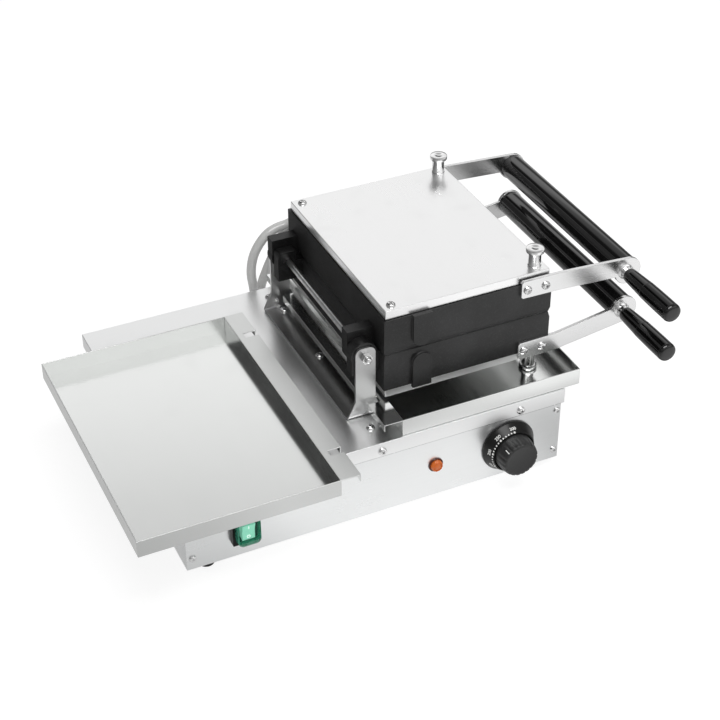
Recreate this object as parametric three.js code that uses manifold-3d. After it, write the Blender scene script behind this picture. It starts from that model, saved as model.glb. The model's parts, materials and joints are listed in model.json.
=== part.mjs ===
import * as THREE from 'three';
import { mergeVertices } from 'three/addons/utils/BufferGeometryUtils.js';
import Module from 'manifold-3d';

const wasm = await Module();
wasm.setup();

// Rotary waffle iron on a sheet steel base. Sizes are in millimetres.
// X runs right along the front panel, Y runs to the back and Z runs up.

// Base box, its cover and its feet
const baseWidth = 440;
const baseDepth = 321;
const baseHeight = 93;
const baseSheet = 1.5;
const coverFlange = 18;
const coverPlay = 1;
const returnFlange = 14;
const footRadius = 10.5;
const footHeight = 12;
const footFlare = 1.5;
const footInsetX = 27;
const footInsetY = 18;

// Hinge bracket and axle
const axlePastMiddle = 5;
const hingePastMiddle = 2;
const axleAboveCover = 78.5;
const bracketSheet = 3;
const bracketWidth = 42;
const bracketSpan = 234;
const bracketBend = 3;
const earWidth = 23;
const earShoulder = 23;
const earCorner = 8;
const earAboveAxle = 11;
const rodRadius = 3.5;
const rodProud = 9.5;
const nutAcross = 11;
const nutLength = 5.5;

// Clearances
const seatGap = 0.3;
const runGap = 0.4;
const boreGap = 0.3;
const overrun = 4;

// Castings
const castWidth = 198;
const castDepth = 252;
const castHeight = 44;
const castFromAxle = 17;
const castChamfer = 1.5;
const castChamferHeight = 6;
const castWall = 11;
const lugRadius = 15;
const lugHeight = 23;
const lugReach = 14;
const lugCorner = 6;
const innerLugHalf = 13;
const lugWidth = 13.5;
const bossWidth = 22;
const bossProud = 4;
const bossFromAxle = 60;
const bossPastRim = 3.2;
const bossStart = 5;
const postRadius = 7;

// Waffle moulds
const mouldWallX = 16;
const mouldWallY = 18;
const mouldDepth = 14.5;
const mouldDraft = 2;
const mouldBridge = 9;
const mouldFloor = 9;
const pyramidDraft = 2.5;
const pyramidBelowFace = 3;
const channelWidth = 8;
const pyramidsAlongX = 6;
const pyramidsAlongY = 4;

// Heater element
const heaterRadius = 4;
const heaterInset = 24;
const heaterInnerHalf = 34;
const heaterBend = 12;

// Lids and studs
const lidSheet = 1.5;
const lidHeight = 10.5;
const lidInset = 2.6;
const lidFlare = 0.4;
const studInsetX = 14.5;
const studInsetY = 14.5;
const lidScrewInsetX = 13;
const lidScrewInsetY = 12;
const studShaftRadius = 6.4;
const studHeadRadius = 10;
const studHeadHeight = 5;
const studEdge = 1.2;
const studAboveTray = 0.2;

// Handles
const strapSheet = 4;
const strapWidth = 21;
const strapOverlap = 39;
const strapCentre = 39.5;
const strapStraight = 7;
const strapNarrow = 0.8;
const lobeRadius = 16;
const lobeMeetShare = 0.3;
const handleFromAxle = 308.4;
const upperHandleHeight = 28.8;
const lowerHandleHeight = 21.5;
const tubeRadius = 14.7;
const neckRadius = 7;
const neckLength = 7;
const gripLength = 85.5;
const gripShift = 3;
const gripRadius = 8.2;
const gripEndRadius = 10.6;
const gripEdge = 2;

// Trays
const trayPastCast = 16.6;
const trayDepth = 320.8;
const trayHeight = 19.8;
const traySheet = 1;
const traySeam = 0.8;
const trayFlange = 21.4;
const trayLip = 8.4;
const traySlotDepth = 15;
const traySlotGap = 3;
const trayFromAxle = 21.4;
const leftTrayOut = 55.2;
const leftTrayForward = 63.5;
const rightTrayForward = 2.4;

// Controls on the front panel
const dialFromRight = 65;
const dialAboveBottom = 38.7;
const dialRadius = 31.6;
const dialEdge = 2.5;
const dialHeight = 14;
const dialTopRadius = 25.4;
const knobRadius = 23;
const knobFaceRadius = 20.6;
const knobReach = 31;
const knobSkirt = 13;
const knobEdge = 1.6;
const shaftRadius = 3;
const thermostatSize = 34;
const thermostatDepth = 22;
const lampFromRight = 153.5;
const lampAboveBottom = 41.5;
const lampRadius = 8.6;
const lampBezel = 1.4;
const lampDome = 6;
const lampRimShare = 0.82;
const lampBodyRadius = 6;
const lampBodyLength = 24;
const switchFromLeft = 64.9;
const switchAboveBottom = 40;
const bezelWidth = 31.4;
const bezelHeight = 40;
const bezelCorner = 1;
const bezelDepth = 7.5;
const bezelFloor = 1.6;
const pocketMargin = 1.2;
const switchBodyWidth = 22;
const switchBodyHeight = 27;
const switchBodyDepth = 24;
const rockerWidth = 14;
const rockerHeight = 21;
const rockerBack = 1.8;
const rockerFront = 6.4;
const rockerPivotDepth = 5.5;
const rockerTilt = 7;
const rockerPin = 1.8;
const capWidth = 25.5;
const capHeight = 33;
const capCorner = 6;
const capRise = 10;
const capTaper = 0.5;
const capWall = 1;
const capEdge = 2.4;

// Power leads between the base and the two halves
const leadRadius = 5.6;
const glandRadius = 8.5;
const glandLength = 9;
const glandAcross = 17;
const glandNeck = 3;
const ironGlandHeight = 24;
const upperLeadFromAxle = -9;
const lowerLeadFromAxle = 13;
const leadAboveBottom = 50;
const leadSlack = 20;
const leadStub = 5;
const upperLeadSteps = 40;
const lowerLeadSteps = 36;
const mainsFromRight = 60;
const mainsAboveBottom = 36;
const mainsBore = 4;
const mainsBoreDepth = 6;
const roundSides = 24;
const smallSides = 14;
const arcSteps = 5;
const lobeSteps = 18;
const leadSides = 10;
const heaterSides = 8;
const heaterSteps = 36;

// The lamp's dome: across its rim and up its height
const lampDomeShares = [
  [0.9, 0.6],
  [0.6, 0.9],
];

// The leads' bends: across from gland to gland, out over the slack, and up from gland to gland
const upperLeadShares = [
  [0.03, 0.7425, 0.1],
  [-0.014, 0.7963, 0.25],
  [-0.05, 0.9928, 0.43],
  [0.022, 1.1379, 0.602],
  [0.225, 1.2038, 0.75],
  [0.41, 1.2636, 0.792],
  [0.609, 1.1978, 0.816],
  [0.812, 0.9861, 0.878],
  [0.957, 0.6666, 0.959],
];
const lowerLeadShares = [
  [-0.17, 0.914, 0.08],
  [-0.194, 1.4284, 0.241],
  [-0.006, 1.8018, 0.503],
  [0.2, 2.0868, 0.703],
  [0.436, 2.2772, 0.977],
  [0.596, 2.124, 1.08],
  [0.82, 1.6168, 1.11],
  [0.98, 0.8963, 1.05],
];

// Levels and places worked out from the sizes
const coverTop = baseHeight + baseSheet;
const axleFromLeft = baseWidth / 2 + axlePastMiddle;
const hingeFromFront = baseDepth / 2 + hingePastMiddle;
const trayWidth = castWidth + trayPastCast;
const dialFromLeft = baseWidth - dialFromRight;
const lampFromLeft = baseWidth - lampFromRight;
const axleHeight = coverTop + axleAboveCover;
const earOuter = bracketSpan / 2;
const earInner = earOuter - bracketSheet;
const rimHeight = castHeight + lidHeight;
const studEnd = axleAboveCover - seatGap - traySheet - studAboveTray;
const trayPlane = coverTop + seatGap;

/** A closed geometry with merged corners becomes a solid for cuts and joins. */
function solid(geometry) {
  const bare = geometry.clone();
  bare.deleteAttribute('normal');
  bare.deleteAttribute('uv');
  const merged = mergeVertices(bare, 1e-4);
  const mesh = new wasm.Mesh({
    numProp: 3,
    vertProperties: new Float32Array(merged.attributes.position.array),
    triVerts: new Uint32Array(merged.index.array),
  });
  return new wasm.Manifold(mesh);
}

/** Joins solids that overlap or share a face. */
function join(first, ...rest) {
  return rest.reduce((whole, piece) => whole.add(piece), first);
}

/** Takes each tool out of a solid. */
function cut(body, ...tools) {
  return tools.reduce((left, tool) => left.subtract(tool), body);
}

/** A solid turned back into a geometry with flat faces. */
function geometryOf(body) {
  const mesh = body.getMesh();
  const geometry = new THREE.BufferGeometry();
  geometry.setAttribute('position', new THREE.BufferAttribute(new Float32Array(mesh.vertProperties), 3));
  geometry.setIndex(new THREE.BufferAttribute(new Uint32Array(mesh.triVerts), 1));
  const flat = geometry.toNonIndexed();
  flat.computeVertexNormals();
  return flat;
}

/** A box between two corners. */
function box(low, high) {
  const size = high.map((value, i) => value - low[i]);
  const geometry = new THREE.BoxGeometry(...size);
  geometry.translate(...low.map((value, i) => value + size[i] / 2));
  return geometry;
}

/** A box whose far end along Z is smaller or larger than its near end. */
function taperedBox(near, far, start, end) {
  const geometry = new THREE.BoxGeometry(1, 1, 1);
  const at = geometry.attributes.position;
  for (let i = 0; i < at.count; i += 1) {
    const size = at.getZ(i) > 0 ? far : near;
    at.setXYZ(i, at.getX(i) * size[0], at.getY(i) * size[1], at.getZ(i) > 0 ? end : start);
  }
  if (end < start) {
    geometry.index.array.reverse();
  }
  return geometry;
}

/** The same with rounded corners, which grow or shrink with the section. */
function taperedRounded(near, far, corner, start, end) {
  const half = near.map((value) => value / 2);
  const low = half.map((value) => -value);
  const radii = [corner, corner, corner, corner];
  const geometry = alongZ(roundedRectangle(low, half, radii), start, end, arcSteps);
  const at = geometry.attributes.position;
  const middle = (start + end) / 2;
  for (let i = 0; i < at.count; i += 1) {
    if (at.getZ(i) > middle) {
      at.setX(i, at.getX(i) * (far[0] / near[0]));
      at.setY(i, at.getY(i) * (far[1] / near[1]));
    }
  }
  return geometry;
}

const frontBasis = new THREE.Matrix4().makeBasis(
  new THREE.Vector3(1, 0, 0),
  new THREE.Vector3(0, 0, 1),
  new THREE.Vector3(0, -1, 0),
);
const sideBasis = new THREE.Matrix4().makeBasis(
  new THREE.Vector3(0, 1, 0),
  new THREE.Vector3(0, 0, 1),
  new THREE.Vector3(1, 0, 0),
);

/** Extrudes an outline drawn in X and Z from one Y to a larger Y. */
function alongY(shape, fromY, toY, sides = roundSides) {
  const options = { depth: toY - fromY, bevelEnabled: false, curveSegments: sides };
  const geometry = new THREE.ExtrudeGeometry(shape, options);
  geometry.applyMatrix4(frontBasis);
  geometry.translate(0, toY, 0);
  return geometry;
}

/** Extrudes an outline drawn in Y and Z from one X to a larger X. */
function alongX(shape, fromX, toX, sides = roundSides) {
  const options = { depth: toX - fromX, bevelEnabled: false, curveSegments: sides };
  const geometry = new THREE.ExtrudeGeometry(shape, options);
  geometry.applyMatrix4(sideBasis);
  geometry.translate(fromX, 0, 0);
  return geometry;
}

/** Extrudes an outline drawn in X and Y from one Z to a larger Z. */
function alongZ(shape, fromZ, toZ, sides = roundSides) {
  const options = { depth: toZ - fromZ, bevelEnabled: false, curveSegments: sides };
  const geometry = new THREE.ExtrudeGeometry(shape, options);
  geometry.translate(0, 0, fromZ);
  return geometry;
}

/** A closed outline from corner points. */
function outline(points) {
  return new THREE.Shape(points.map((point) => new THREE.Vector2(...point)));
}

/** A rectangle with its own corner radius for each corner, from the low one round to the left. */
function roundedRectangle(low, high, radii) {
  const [lowLeft, lowRight, highRight, highLeft] = radii;
  const shape = new THREE.Shape();
  shape.moveTo(low[0] + lowLeft, low[1]);
  shape.lineTo(high[0] - lowRight, low[1]);
  if (lowRight > 0) {
    shape.absarc(high[0] - lowRight, low[1] + lowRight, lowRight, -Math.PI / 2, 0, false);
  }
  shape.lineTo(high[0], high[1] - highRight);
  if (highRight > 0) {
    shape.absarc(high[0] - highRight, high[1] - highRight, highRight, 0, Math.PI / 2, false);
  }
  shape.lineTo(low[0] + highLeft, high[1]);
  if (highLeft > 0) {
    shape.absarc(low[0] + highLeft, high[1] - highLeft, highLeft, Math.PI / 2, Math.PI, false);
  }
  shape.lineTo(low[0], low[1] + lowLeft);
  if (lowLeft > 0) {
    shape.absarc(low[0] + lowLeft, low[1] + lowLeft, lowLeft, Math.PI, Math.PI * 1.5, false);
  }
  return shape;
}

/** A full circle as an outline. */
function circle(x, y, radius) {
  const shape = new THREE.Shape();
  shape.absarc(x, y, radius, 0, Math.PI * 2, false);
  return shape;
}

/** A six-sided outline with the given width across its flats. */
function hexagon(across) {
  const corner = across / Math.sqrt(3);
  const points = [0, 1, 2, 3, 4, 5].map((i) => {
    const angle = (i * Math.PI) / 3;
    return [corner * Math.cos(angle), corner * Math.sin(angle)];
  });
  return outline(points);
}

/** Turns a half outline of radius and height about an axis that runs forward along minus Y. */
function turnedForward(points, sides = roundSides) {
  const geometry = new THREE.LatheGeometry(points.map((point) => new THREE.Vector2(...point)), sides);
  geometry.rotateX(Math.PI);
  return geometry;
}

/** Turns a half outline of radius and height about an upright axis. */
function turnedUp(points, sides = roundSides) {
  const geometry = new THREE.LatheGeometry(points.map((point) => new THREE.Vector2(...point)), sides);
  geometry.rotateX(Math.PI / 2);
  return geometry;
}

/** A round tube or bar along a curve. */
function alongCurve(curve, radius, steps, sides = leadSides) {
  const points = [];
  for (let i = 0; i < sides; i += 1) {
    const angle = (i * 2 * Math.PI) / sides;
    points.push([radius * Math.cos(angle), radius * Math.sin(angle)]);
  }
  const options = { steps, extrudePath: curve, bevelEnabled: false };
  return new THREE.ExtrudeGeometry(outline(points), options);
}

const steel = { color: 0xc9cbcc, roughness: 0.32, metalness: 0.9 };
const polished = { color: 0xd8dadb, roughness: 0.15, metalness: 1.0 };
const castIron = { color: 0x1b1b1c, roughness: 0.78, metalness: 0.15 };
const blackGloss = { color: 0x0d0d0e, roughness: 0.2, metalness: 0.0 };
const blackMatt = { color: 0x19191a, roughness: 0.5, metalness: 0.0 };
const rubber = { color: 0x141414, roughness: 0.85, metalness: 0.0 };
const heaterSteel = { color: 0x7d7f7c, roughness: 0.5, metalness: 0.8 };
const leadGrey = { color: 0xb4b5b2, roughness: 0.5, metalness: 0.1 };
const amberLens = { color: 0xe0741c, roughness: 0.25, metalness: 0.0 };
const greenCap = { color: 0x4fae8a, roughness: 0.2, metalness: 0.0 };
const greenRocker = { color: 0x7fd8b8, roughness: 0.35, metalness: 0.0 };

/** A named piece with its own finish. */
function piece(name, geometry, finish) {
  const mesh = new THREE.Mesh(geometry, new THREE.MeshStandardMaterial(finish));
  mesh.name = name;
  return mesh;
}

/** The folded sheet box: floor, side walls, back wall and the returns that the front panel is screwed to. */
function baseHousing() {
  const inner = baseSheet;
  const frontFace = baseSheet;
  const shell = cut(
    solid(box([0, frontFace, 0], [baseWidth, baseDepth, baseHeight])),
    solid(box(
      [inner, frontFace + baseSheet, inner],
      [baseWidth - inner, baseDepth - inner, baseHeight + overrun],
    )),
    solid(box(
      [returnFlange, -overrun, returnFlange],
      [baseWidth - returnFlange, frontFace + baseSheet + overrun, baseHeight + overrun],
    )),
  );
  const holes = rearOpenings().map(([x, z, radius]) => (
    solid(alongY(circle(x, z, radius), baseDepth - baseSheet - overrun, baseDepth + overrun, smallSides))
  ));
  return geometryOf(cut(shell, ...holes));
}

/** The places in the back wall where a gland passes through: X, Z and radius. */
function rearOpenings() {
  const throat = glandRadius - glandNeck + boreGap;
  return [
    [axleFromLeft + upperLeadFromAxle, leadAboveBottom, throat],
    [axleFromLeft + lowerLeadFromAxle, leadAboveBottom, throat],
    [baseWidth - mainsFromRight, mainsAboveBottom, throat],
  ];
}

/** The cover laps over the box on all four sides with a folded flange. */
function baseCover() {
  const proud = baseSheet + coverPlay;
  const outer = solid(box(
    [-proud, -proud, coverTop - coverFlange],
    [baseWidth + proud, baseDepth + proud, coverTop],
  ));
  const inside = solid(box(
    [-coverPlay, -coverPlay, coverTop - coverFlange - overrun],
    [baseWidth + coverPlay, baseDepth + coverPlay, baseHeight],
  ));
  return geometryOf(cut(outer, inside));
}

/** The flat front panel, with its openings for the switch, the lamp and the thermostat. */
function frontPanel() {
  const plate = solid(box([0, 0, 0], [baseWidth, baseSheet, baseHeight]));
  const halfWidth = switchBodyWidth / 2 + boreGap;
  const halfHeight = switchBodyHeight / 2 + boreGap;
  return geometryOf(cut(
    plate,
    solid(box(
      [switchFromLeft - halfWidth, -overrun, switchAboveBottom - halfHeight],
      [switchFromLeft + halfWidth, overrun, switchAboveBottom + halfHeight],
    )),
    solid(alongY(circle(lampFromLeft, lampAboveBottom, lampBodyRadius + boreGap), -overrun, overrun, smallSides)),
    solid(alongY(circle(dialFromLeft, dialAboveBottom, shaftRadius + boreGap), -overrun, overrun, smallSides)),
  ));
}

/** One rubber foot, slightly wider at the floor. */
function foot() {
  return turnedUp([
    [0, -footHeight],
    [footRadius - footFlare / 2, -footHeight],
    [footRadius, -footHeight + footFlare],
    [footRadius - footFlare, 0],
    [0, 0],
  ], smallSides);
}

/** The bent bracket: a U of sheet, trimmed to the outline of its ears and drilled for the axle. */
function hingeBracket() {
  const top = axleAboveCover + earAboveAxle;
  const half = bracketWidth / 2;
  const earHalf = earWidth / 2;
  const bend = bracketBend + bracketSheet;
  const bent = cut(
    solid(alongX(
      roundedRectangle([-earOuter, 0], [earOuter, top + overrun], [bend, bend, 0, 0]),
      -half,
      half,
      arcSteps,
    )),
    solid(alongX(
      roundedRectangle(
        [-earInner, bracketSheet],
        [earInner, top + overrun * 2],
        [bracketBend, bracketBend, 0, 0],
      ),
      -half - overrun,
      half + overrun,
      arcSteps,
    )),
  );
  const front = new THREE.Shape();
  front.moveTo(-half, -overrun);
  front.lineTo(half, -overrun);
  front.lineTo(half, bracketSheet);
  front.lineTo(earHalf, earShoulder);
  front.lineTo(earHalf, top - earCorner);
  front.absarc(earHalf - earCorner, top - earCorner, earCorner, 0, Math.PI / 2, false);
  front.lineTo(-earHalf + earCorner, top);
  front.absarc(-earHalf + earCorner, top - earCorner, earCorner, Math.PI / 2, Math.PI, false);
  front.lineTo(-earHalf, earShoulder);
  front.lineTo(-half, bracketSheet);
  const silhouette = solid(alongY(front, -earOuter - overrun, earOuter + overrun, arcSteps));
  const bore = solid(alongY(
    circle(0, axleAboveCover, rodRadius + boreGap),
    -earOuter - overrun,
    earOuter + overrun,
    smallSides,
  ));
  return geometryOf(cut(bent.intersect(silhouette), bore));
}

/** The plain steel axle rod. */
function axleRod() {
  const end = earOuter + rodProud;
  return alongY(circle(0, 0, rodRadius), -end, end, smallSides);
}

/** A plain hexagon nut on the rod. */
function axleNut() {
  const shape = hexagon(nutAcross);
  shape.holes.push(circle(0, 0, rodRadius + boreGap));
  return alongY(shape, 0, nutLength, smallSides);
}

/** The outside of a casting above its joint face, with the small bevel that makes the joint's groove. */
function castBlock() {
  const left = castFromAxle;
  const right = castFromAxle + castWidth;
  const half = castDepth / 2;
  const full = [castWidth, castDepth];
  const narrow = full.map((value) => value - castChamfer * 2);
  const bevel = solid(taperedBox(narrow, full, runGap / 2, castChamferHeight));
  const main = solid(box([left, -half, castChamferHeight], [right, half, castHeight]));
  return join(main, bevel.translate([left + castWidth / 2, 0, 0]));
}

/** The hinge lugs: a round one beside one ear and a square one inside the place of the other half's lug. */
function castLugs() {
  const wall = castFromAxle + castChamfer + castWall / 2;
  const outerStart = earInner - runGap - lugWidth;
  const roundArm = solid(alongY(
    outline([[-lugReach, 0], [wall, 0], [wall, lugHeight], [-lugReach, lugHeight]]),
    outerStart,
    outerStart + lugWidth,
  ));
  const roundEnd = solid(alongY(circle(0, 0, lugRadius), outerStart, outerStart + lugWidth));
  const innerEnd = -(outerStart - runGap);
  const squareEnd = solid(alongY(
    roundedRectangle([-innerLugHalf, -innerLugHalf], [innerLugHalf, lugHeight], [lugCorner, lugCorner, 0, 0]),
    innerEnd,
    innerEnd + lugWidth,
    arcSteps,
  ));
  const squareArm = solid(box([0, innerEnd, runGap / 2], [wall, innerEnd + lugWidth, lugHeight]));
  const lift = solid(box(
    [innerLugHalf - overrun, -castDepth, -lugRadius - overrun],
    [wall + overrun, castDepth, runGap / 2],
  ));
  const bores = solid(alongY(circle(0, 0, rodRadius + boreGap), -castDepth, castDepth, smallSides));
  const corner = solid(box([lugRadius, -castDepth, -overrun], [wall + overrun, castDepth, runGap / 2]));
  const round = cut(join(roundArm, roundEnd), corner);
  const square = join(cut(squareEnd, lift), squareArm);
  return { lugs: join(round, square), bores };
}

/** The upright boss that each casting has on its front and back face, over the terminals. */
function castBosses() {
  const half = castDepth / 2;
  const radius = bossWidth / 2;
  const shape = (top) => {
    const boss = new THREE.Shape();
    boss.moveTo(bossFromAxle + radius, top);
    boss.lineTo(bossFromAxle - radius, top);
    boss.lineTo(bossFromAxle - radius, bossStart + radius);
    boss.absarc(bossFromAxle, bossStart + radius, radius, Math.PI, Math.PI * 2, false);
    return boss;
  };
  const deep = shape(castHeight);
  const lip = shape(castHeight + bossPastRim);
  return join(
    solid(alongY(deep, half - castWall / 2, half + bossProud, smallSides)),
    solid(alongY(lip, half, half + bossProud, smallSides)),
    solid(alongY(deep, -half - bossProud, -half + castWall / 2, smallSides)),
  );
}

/** The places of the four posts that carry the lid, as X and Y from the axle. */
function postPlaces() {
  const studX = castFromAxle + castWidth - studInsetX;
  const studY = castDepth / 2 - studInsetY;
  const screwX = castFromAxle + lidScrewInsetX;
  const screwY = castDepth / 2 - lidScrewInsetY;
  return [[screwX, -screwY], [screwX, screwY], [studX, -studY], [studX, studY]];
}

/** One mould: a drafted hollow with its rows of pyramids left standing. */
function waffleMould(centreX, centreY, width, depth) {
  const top = mouldDepth;
  const hollow = solid(taperedBox(
    [width, depth],
    [width - mouldDraft * 2, depth - mouldDraft * 2],
    -overrun,
    top,
  ));
  const pitchX = (width - mouldDraft) / pyramidsAlongX;
  const pitchY = (depth - mouldDraft) / pyramidsAlongY;
  const base = [pitchX - channelWidth / 2, pitchY - channelWidth / 2];
  const tip = base.map((value) => value - pyramidDraft * 2);
  const pyramids = [];
  for (let i = 0; i < pyramidsAlongX; i += 1) {
    for (let j = 0; j < pyramidsAlongY; j += 1) {
      const x = (i + 0.5 - pyramidsAlongX / 2) * pitchX;
      const y = (j + 0.5 - pyramidsAlongY / 2) * pitchY;
      const pyramid = solid(taperedBox(tip, base, pyramidBelowFace, top + overrun));
      pyramids.push(pyramid.translate([x, y, 0]));
    }
  }
  return cut(hollow, ...pyramids).translate([centreX, centreY, 0]);
}

/** One casting: block, lugs, bosses and lid posts, with two moulds and the heater space behind them. */
function casting() {
  const { lugs, bores } = castLugs();
  const centreX = castFromAxle + castWidth / 2;
  const mouldWidth = castWidth - mouldWallX * 2;
  const mouldLength = (castDepth - mouldWallY * 2 - mouldBridge) / 2;
  const mouldY = (mouldBridge + mouldLength) / 2;
  const back = mouldDepth + mouldFloor;
  const heaterSpace = solid(box(
    [castFromAxle + castWall, -castDepth / 2 + castWall, back],
    [castFromAxle + castWidth - castWall, castDepth / 2 - castWall, castHeight + overrun],
  ));
  const posts = postPlaces().map(([x, y]) => {
    const post = alongZ(circle(x, y, postRadius), back - overrun, rimHeight - lidSheet - seatGap, smallSides);
    return solid(post);
  });
  const body = cut(
    join(castBlock(), lugs, castBosses()),
    heaterSpace,
    waffleMould(centreX, -mouldY, mouldWidth, mouldLength),
    waffleMould(centreX, mouldY, mouldWidth, mouldLength),
    bores,
  );
  return geometryOf(join(body, ...posts));
}

/** The heater element lies in loops on the back of the mould plate and ends by the boss at the back. */
function heater(rear) {
  const left = castFromAxle + castWall + heaterInset;
  const right = castFromAxle + castWidth - castWall - heaterInset;
  const far = castDepth / 2 - castWall - heaterInset;
  const z = mouldDepth + mouldFloor + heaterRadius + seatGap;
  const start = castDepth / 2 - castWall - heaterRadius;
  const corners = [
    [left, start],
    [left, -far],
    [(left + right) / 2 - heaterInnerHalf / 2, -far],
    [(left + right) / 2 - heaterInnerHalf / 2, far],
    [(left + right) / 2 + heaterInnerHalf / 2, far],
    [(left + right) / 2 + heaterInnerHalf / 2, -far],
    [right, -far],
    [right, far],
    [right, start],
  ].map(([x, y]) => new THREE.Vector3(x, y * rear, z));
  const path = new THREE.CurvePath();
  let from = corners[0];
  for (let i = 1; i < corners.length - 1; i += 1) {
    const before = corners[i].clone().sub(corners[i - 1]).normalize();
    const after = corners[i + 1].clone().sub(corners[i]).normalize();
    const enter = corners[i].clone().addScaledVector(before, -heaterBend);
    const leave = corners[i].clone().addScaledVector(after, heaterBend);
    if (before.distanceTo(after) > 0) {
      path.add(new THREE.LineCurve3(from, enter));
      path.add(new THREE.QuadraticBezierCurve3(enter, corners[i], leave));
      from = leave;
    }
  }
  path.add(new THREE.LineCurve3(from, corners[corners.length - 1]));
  return alongCurve(path, heaterRadius, heaterSteps, heaterSides);
}

/** The sheet lid: a shallow cap whose flanges stand just over the casting's rim and lean out a little. */
function lid() {
  const width = castWidth - lidInset * 2;
  const depth = castDepth - lidInset * 2;
  const footSize = [width + lidFlare * 2, depth + lidFlare * 2];
  const inner = (size) => size.map((value) => value - lidSheet * 2);
  const outside = solid(taperedBox(footSize, [width, depth], castHeight + seatGap, rimHeight));
  const inside = solid(taperedBox(
    inner(footSize),
    inner([width, depth]),
    castHeight,
    rimHeight - lidSheet,
  ));
  const shell = cut(outside, inside).translate([castFromAxle + castWidth / 2, 0, 0]);
  return geometryOf(shell);
}

/** A polished standing stud with a broad rounded head, its foot on the lid. */
function stud() {
  const end = studEnd - rimHeight;
  return turnedUp([
    [0, 0],
    [studShaftRadius, 0],
    [studShaftRadius, end - studHeadHeight],
    [studHeadRadius - studEdge, end - studHeadHeight],
    [studHeadRadius, end - studHeadHeight + studEdge],
    [studHeadRadius, end - studEdge],
    [studHeadRadius - studEdge, end],
    [0, end],
  ]);
}

/** A handle strap: flat bar along the casting that bends past its end and closes round the handle. */
function strap(handleHeight) {
  const right = castFromAxle + castWidth;
  const start = right - strapOverlap;
  const bend = right + strapStraight;
  const top = strapCentre + strapWidth / 2;
  const low = strapCentre - strapWidth / 2;
  const corner = strapSheet / 2;
  const shape = new THREE.Shape();
  const meet = Math.PI + Math.asin(lobeMeetShare);
  shape.moveTo(start + corner, low);
  shape.lineTo(bend, low - strapNarrow);
  shape.lineTo(handleFromAxle + lobeRadius * Math.cos(meet), handleHeight + lobeRadius * Math.sin(meet));
  shape.absarc(handleFromAxle, handleHeight, lobeRadius, meet, Math.PI * 2.5, false);
  shape.lineTo(bend, top);
  shape.lineTo(start + corner, top);
  shape.lineTo(start, top - corner);
  shape.lineTo(start, low + corner);
  return alongY(shape, 0, strapSheet, lobeSteps);
}

/** The handle's neck, a bright collar between the strap and the front grip. */
function neck() {
  return turnedForward([
    [0, 0],
    [neckRadius + strapSheet / 2, 0],
    [neckRadius, neckLength / 2],
    [neckRadius, neckLength],
    [0, neckLength],
  ]);
}

/** The front grip: slim at its neck, swelling to a rounded end. */
function grip() {
  return turnedForward([
    [0, 0],
    [gripRadius - gripEdge / 2, 0],
    [gripRadius, gripEdge],
    [(gripRadius * 2 + gripEndRadius) / 3, gripLength / 2],
    [gripEndRadius, gripLength - gripEdge * 3],
    [gripEndRadius - gripEdge / 4, gripLength - gripEdge],
    [gripEndRadius - gripEdge, gripLength],
    [0, gripLength],
  ]);
}

/** A cable gland: a hexagon against the wall and a round nose, with a socket for a cord if it has a bore. */
function gland(passes, bore) {
  const body = solid(alongY(hexagon(glandAcross), 0, glandLength / 2));
  const nose = solid(alongY(circle(0, 0, glandRadius - glandNeck / 2), 0, glandLength, smallSides));
  const throat = solid(alongY(
    circle(0, 0, glandRadius - glandNeck),
    -baseSheet * passes - glandNeck * passes,
    glandNeck,
    smallSides,
  ));
  const whole = join(body, nose, throat);
  if (bore > 0) {
    const socket = alongY(circle(0, 0, bore), glandLength - mainsBoreDepth, glandLength + overrun, smallSides);
    return geometryOf(cut(whole, solid(socket)));
  }
  return geometryOf(whole);
}

/** Every piece of one half of the iron, with its joint face up from the axle's level. */
function ironHalf(name, rear, handleHeight) {
  const half = new THREE.Group();
  const front = -rear;
  half.add(piece(`${name}_casting`, casting(), castIron));
  half.add(piece(`${name}_heater`, heater(rear), heaterSteel));
  half.add(piece(`${name}_lid`, lid(), steel));
  const studX = castFromAxle + castWidth - studInsetX;
  const studY = castDepth / 2 - studInsetY;
  const strapY = castDepth / 2;
  [['front', front], ['back', rear]].forEach(([place, side]) => {
    const standing = piece(`${name}_stud_${place}`, stud(), polished);
    standing.position.set(studX, studY * side, rimHeight);
    half.add(standing);
    const bar = piece(`${name}_strap_${place}`, strap(handleHeight), steel);
    bar.position.y = side > 0 ? strapY : -strapY - strapSheet;
    half.add(bar);
  });
  const tube = alongY(circle(0, 0, tubeRadius), -strapY, strapY);
  const bar = piece(`${name}_handle_tube`, tube, blackGloss);
  bar.position.set(handleFromAxle, 0, handleHeight);
  half.add(bar);
  const collar = piece(`${name}_handle_neck`, neck(), polished);
  const handle = piece(`${name}_handle_grip`, grip(), blackGloss);
  [[collar, strapSheet], [handle, strapSheet + neckLength]].forEach(([mesh, away]) => {
    mesh.position.set(handleFromAxle - gripShift, (strapY + away) * front, handleHeight);
    mesh.rotation.x = front > 0 ? Math.PI : 0;
    half.add(mesh);
  });
  const entry = piece(`${name}_gland`, gland(0, 0), polished);
  entry.position.set(bossFromAxle, (strapY + bossProud) * rear, ironGlandHeight);
  entry.rotation.x = rear > 0 ? 0 : Math.PI;
  half.add(entry);
  return half;
}

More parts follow.
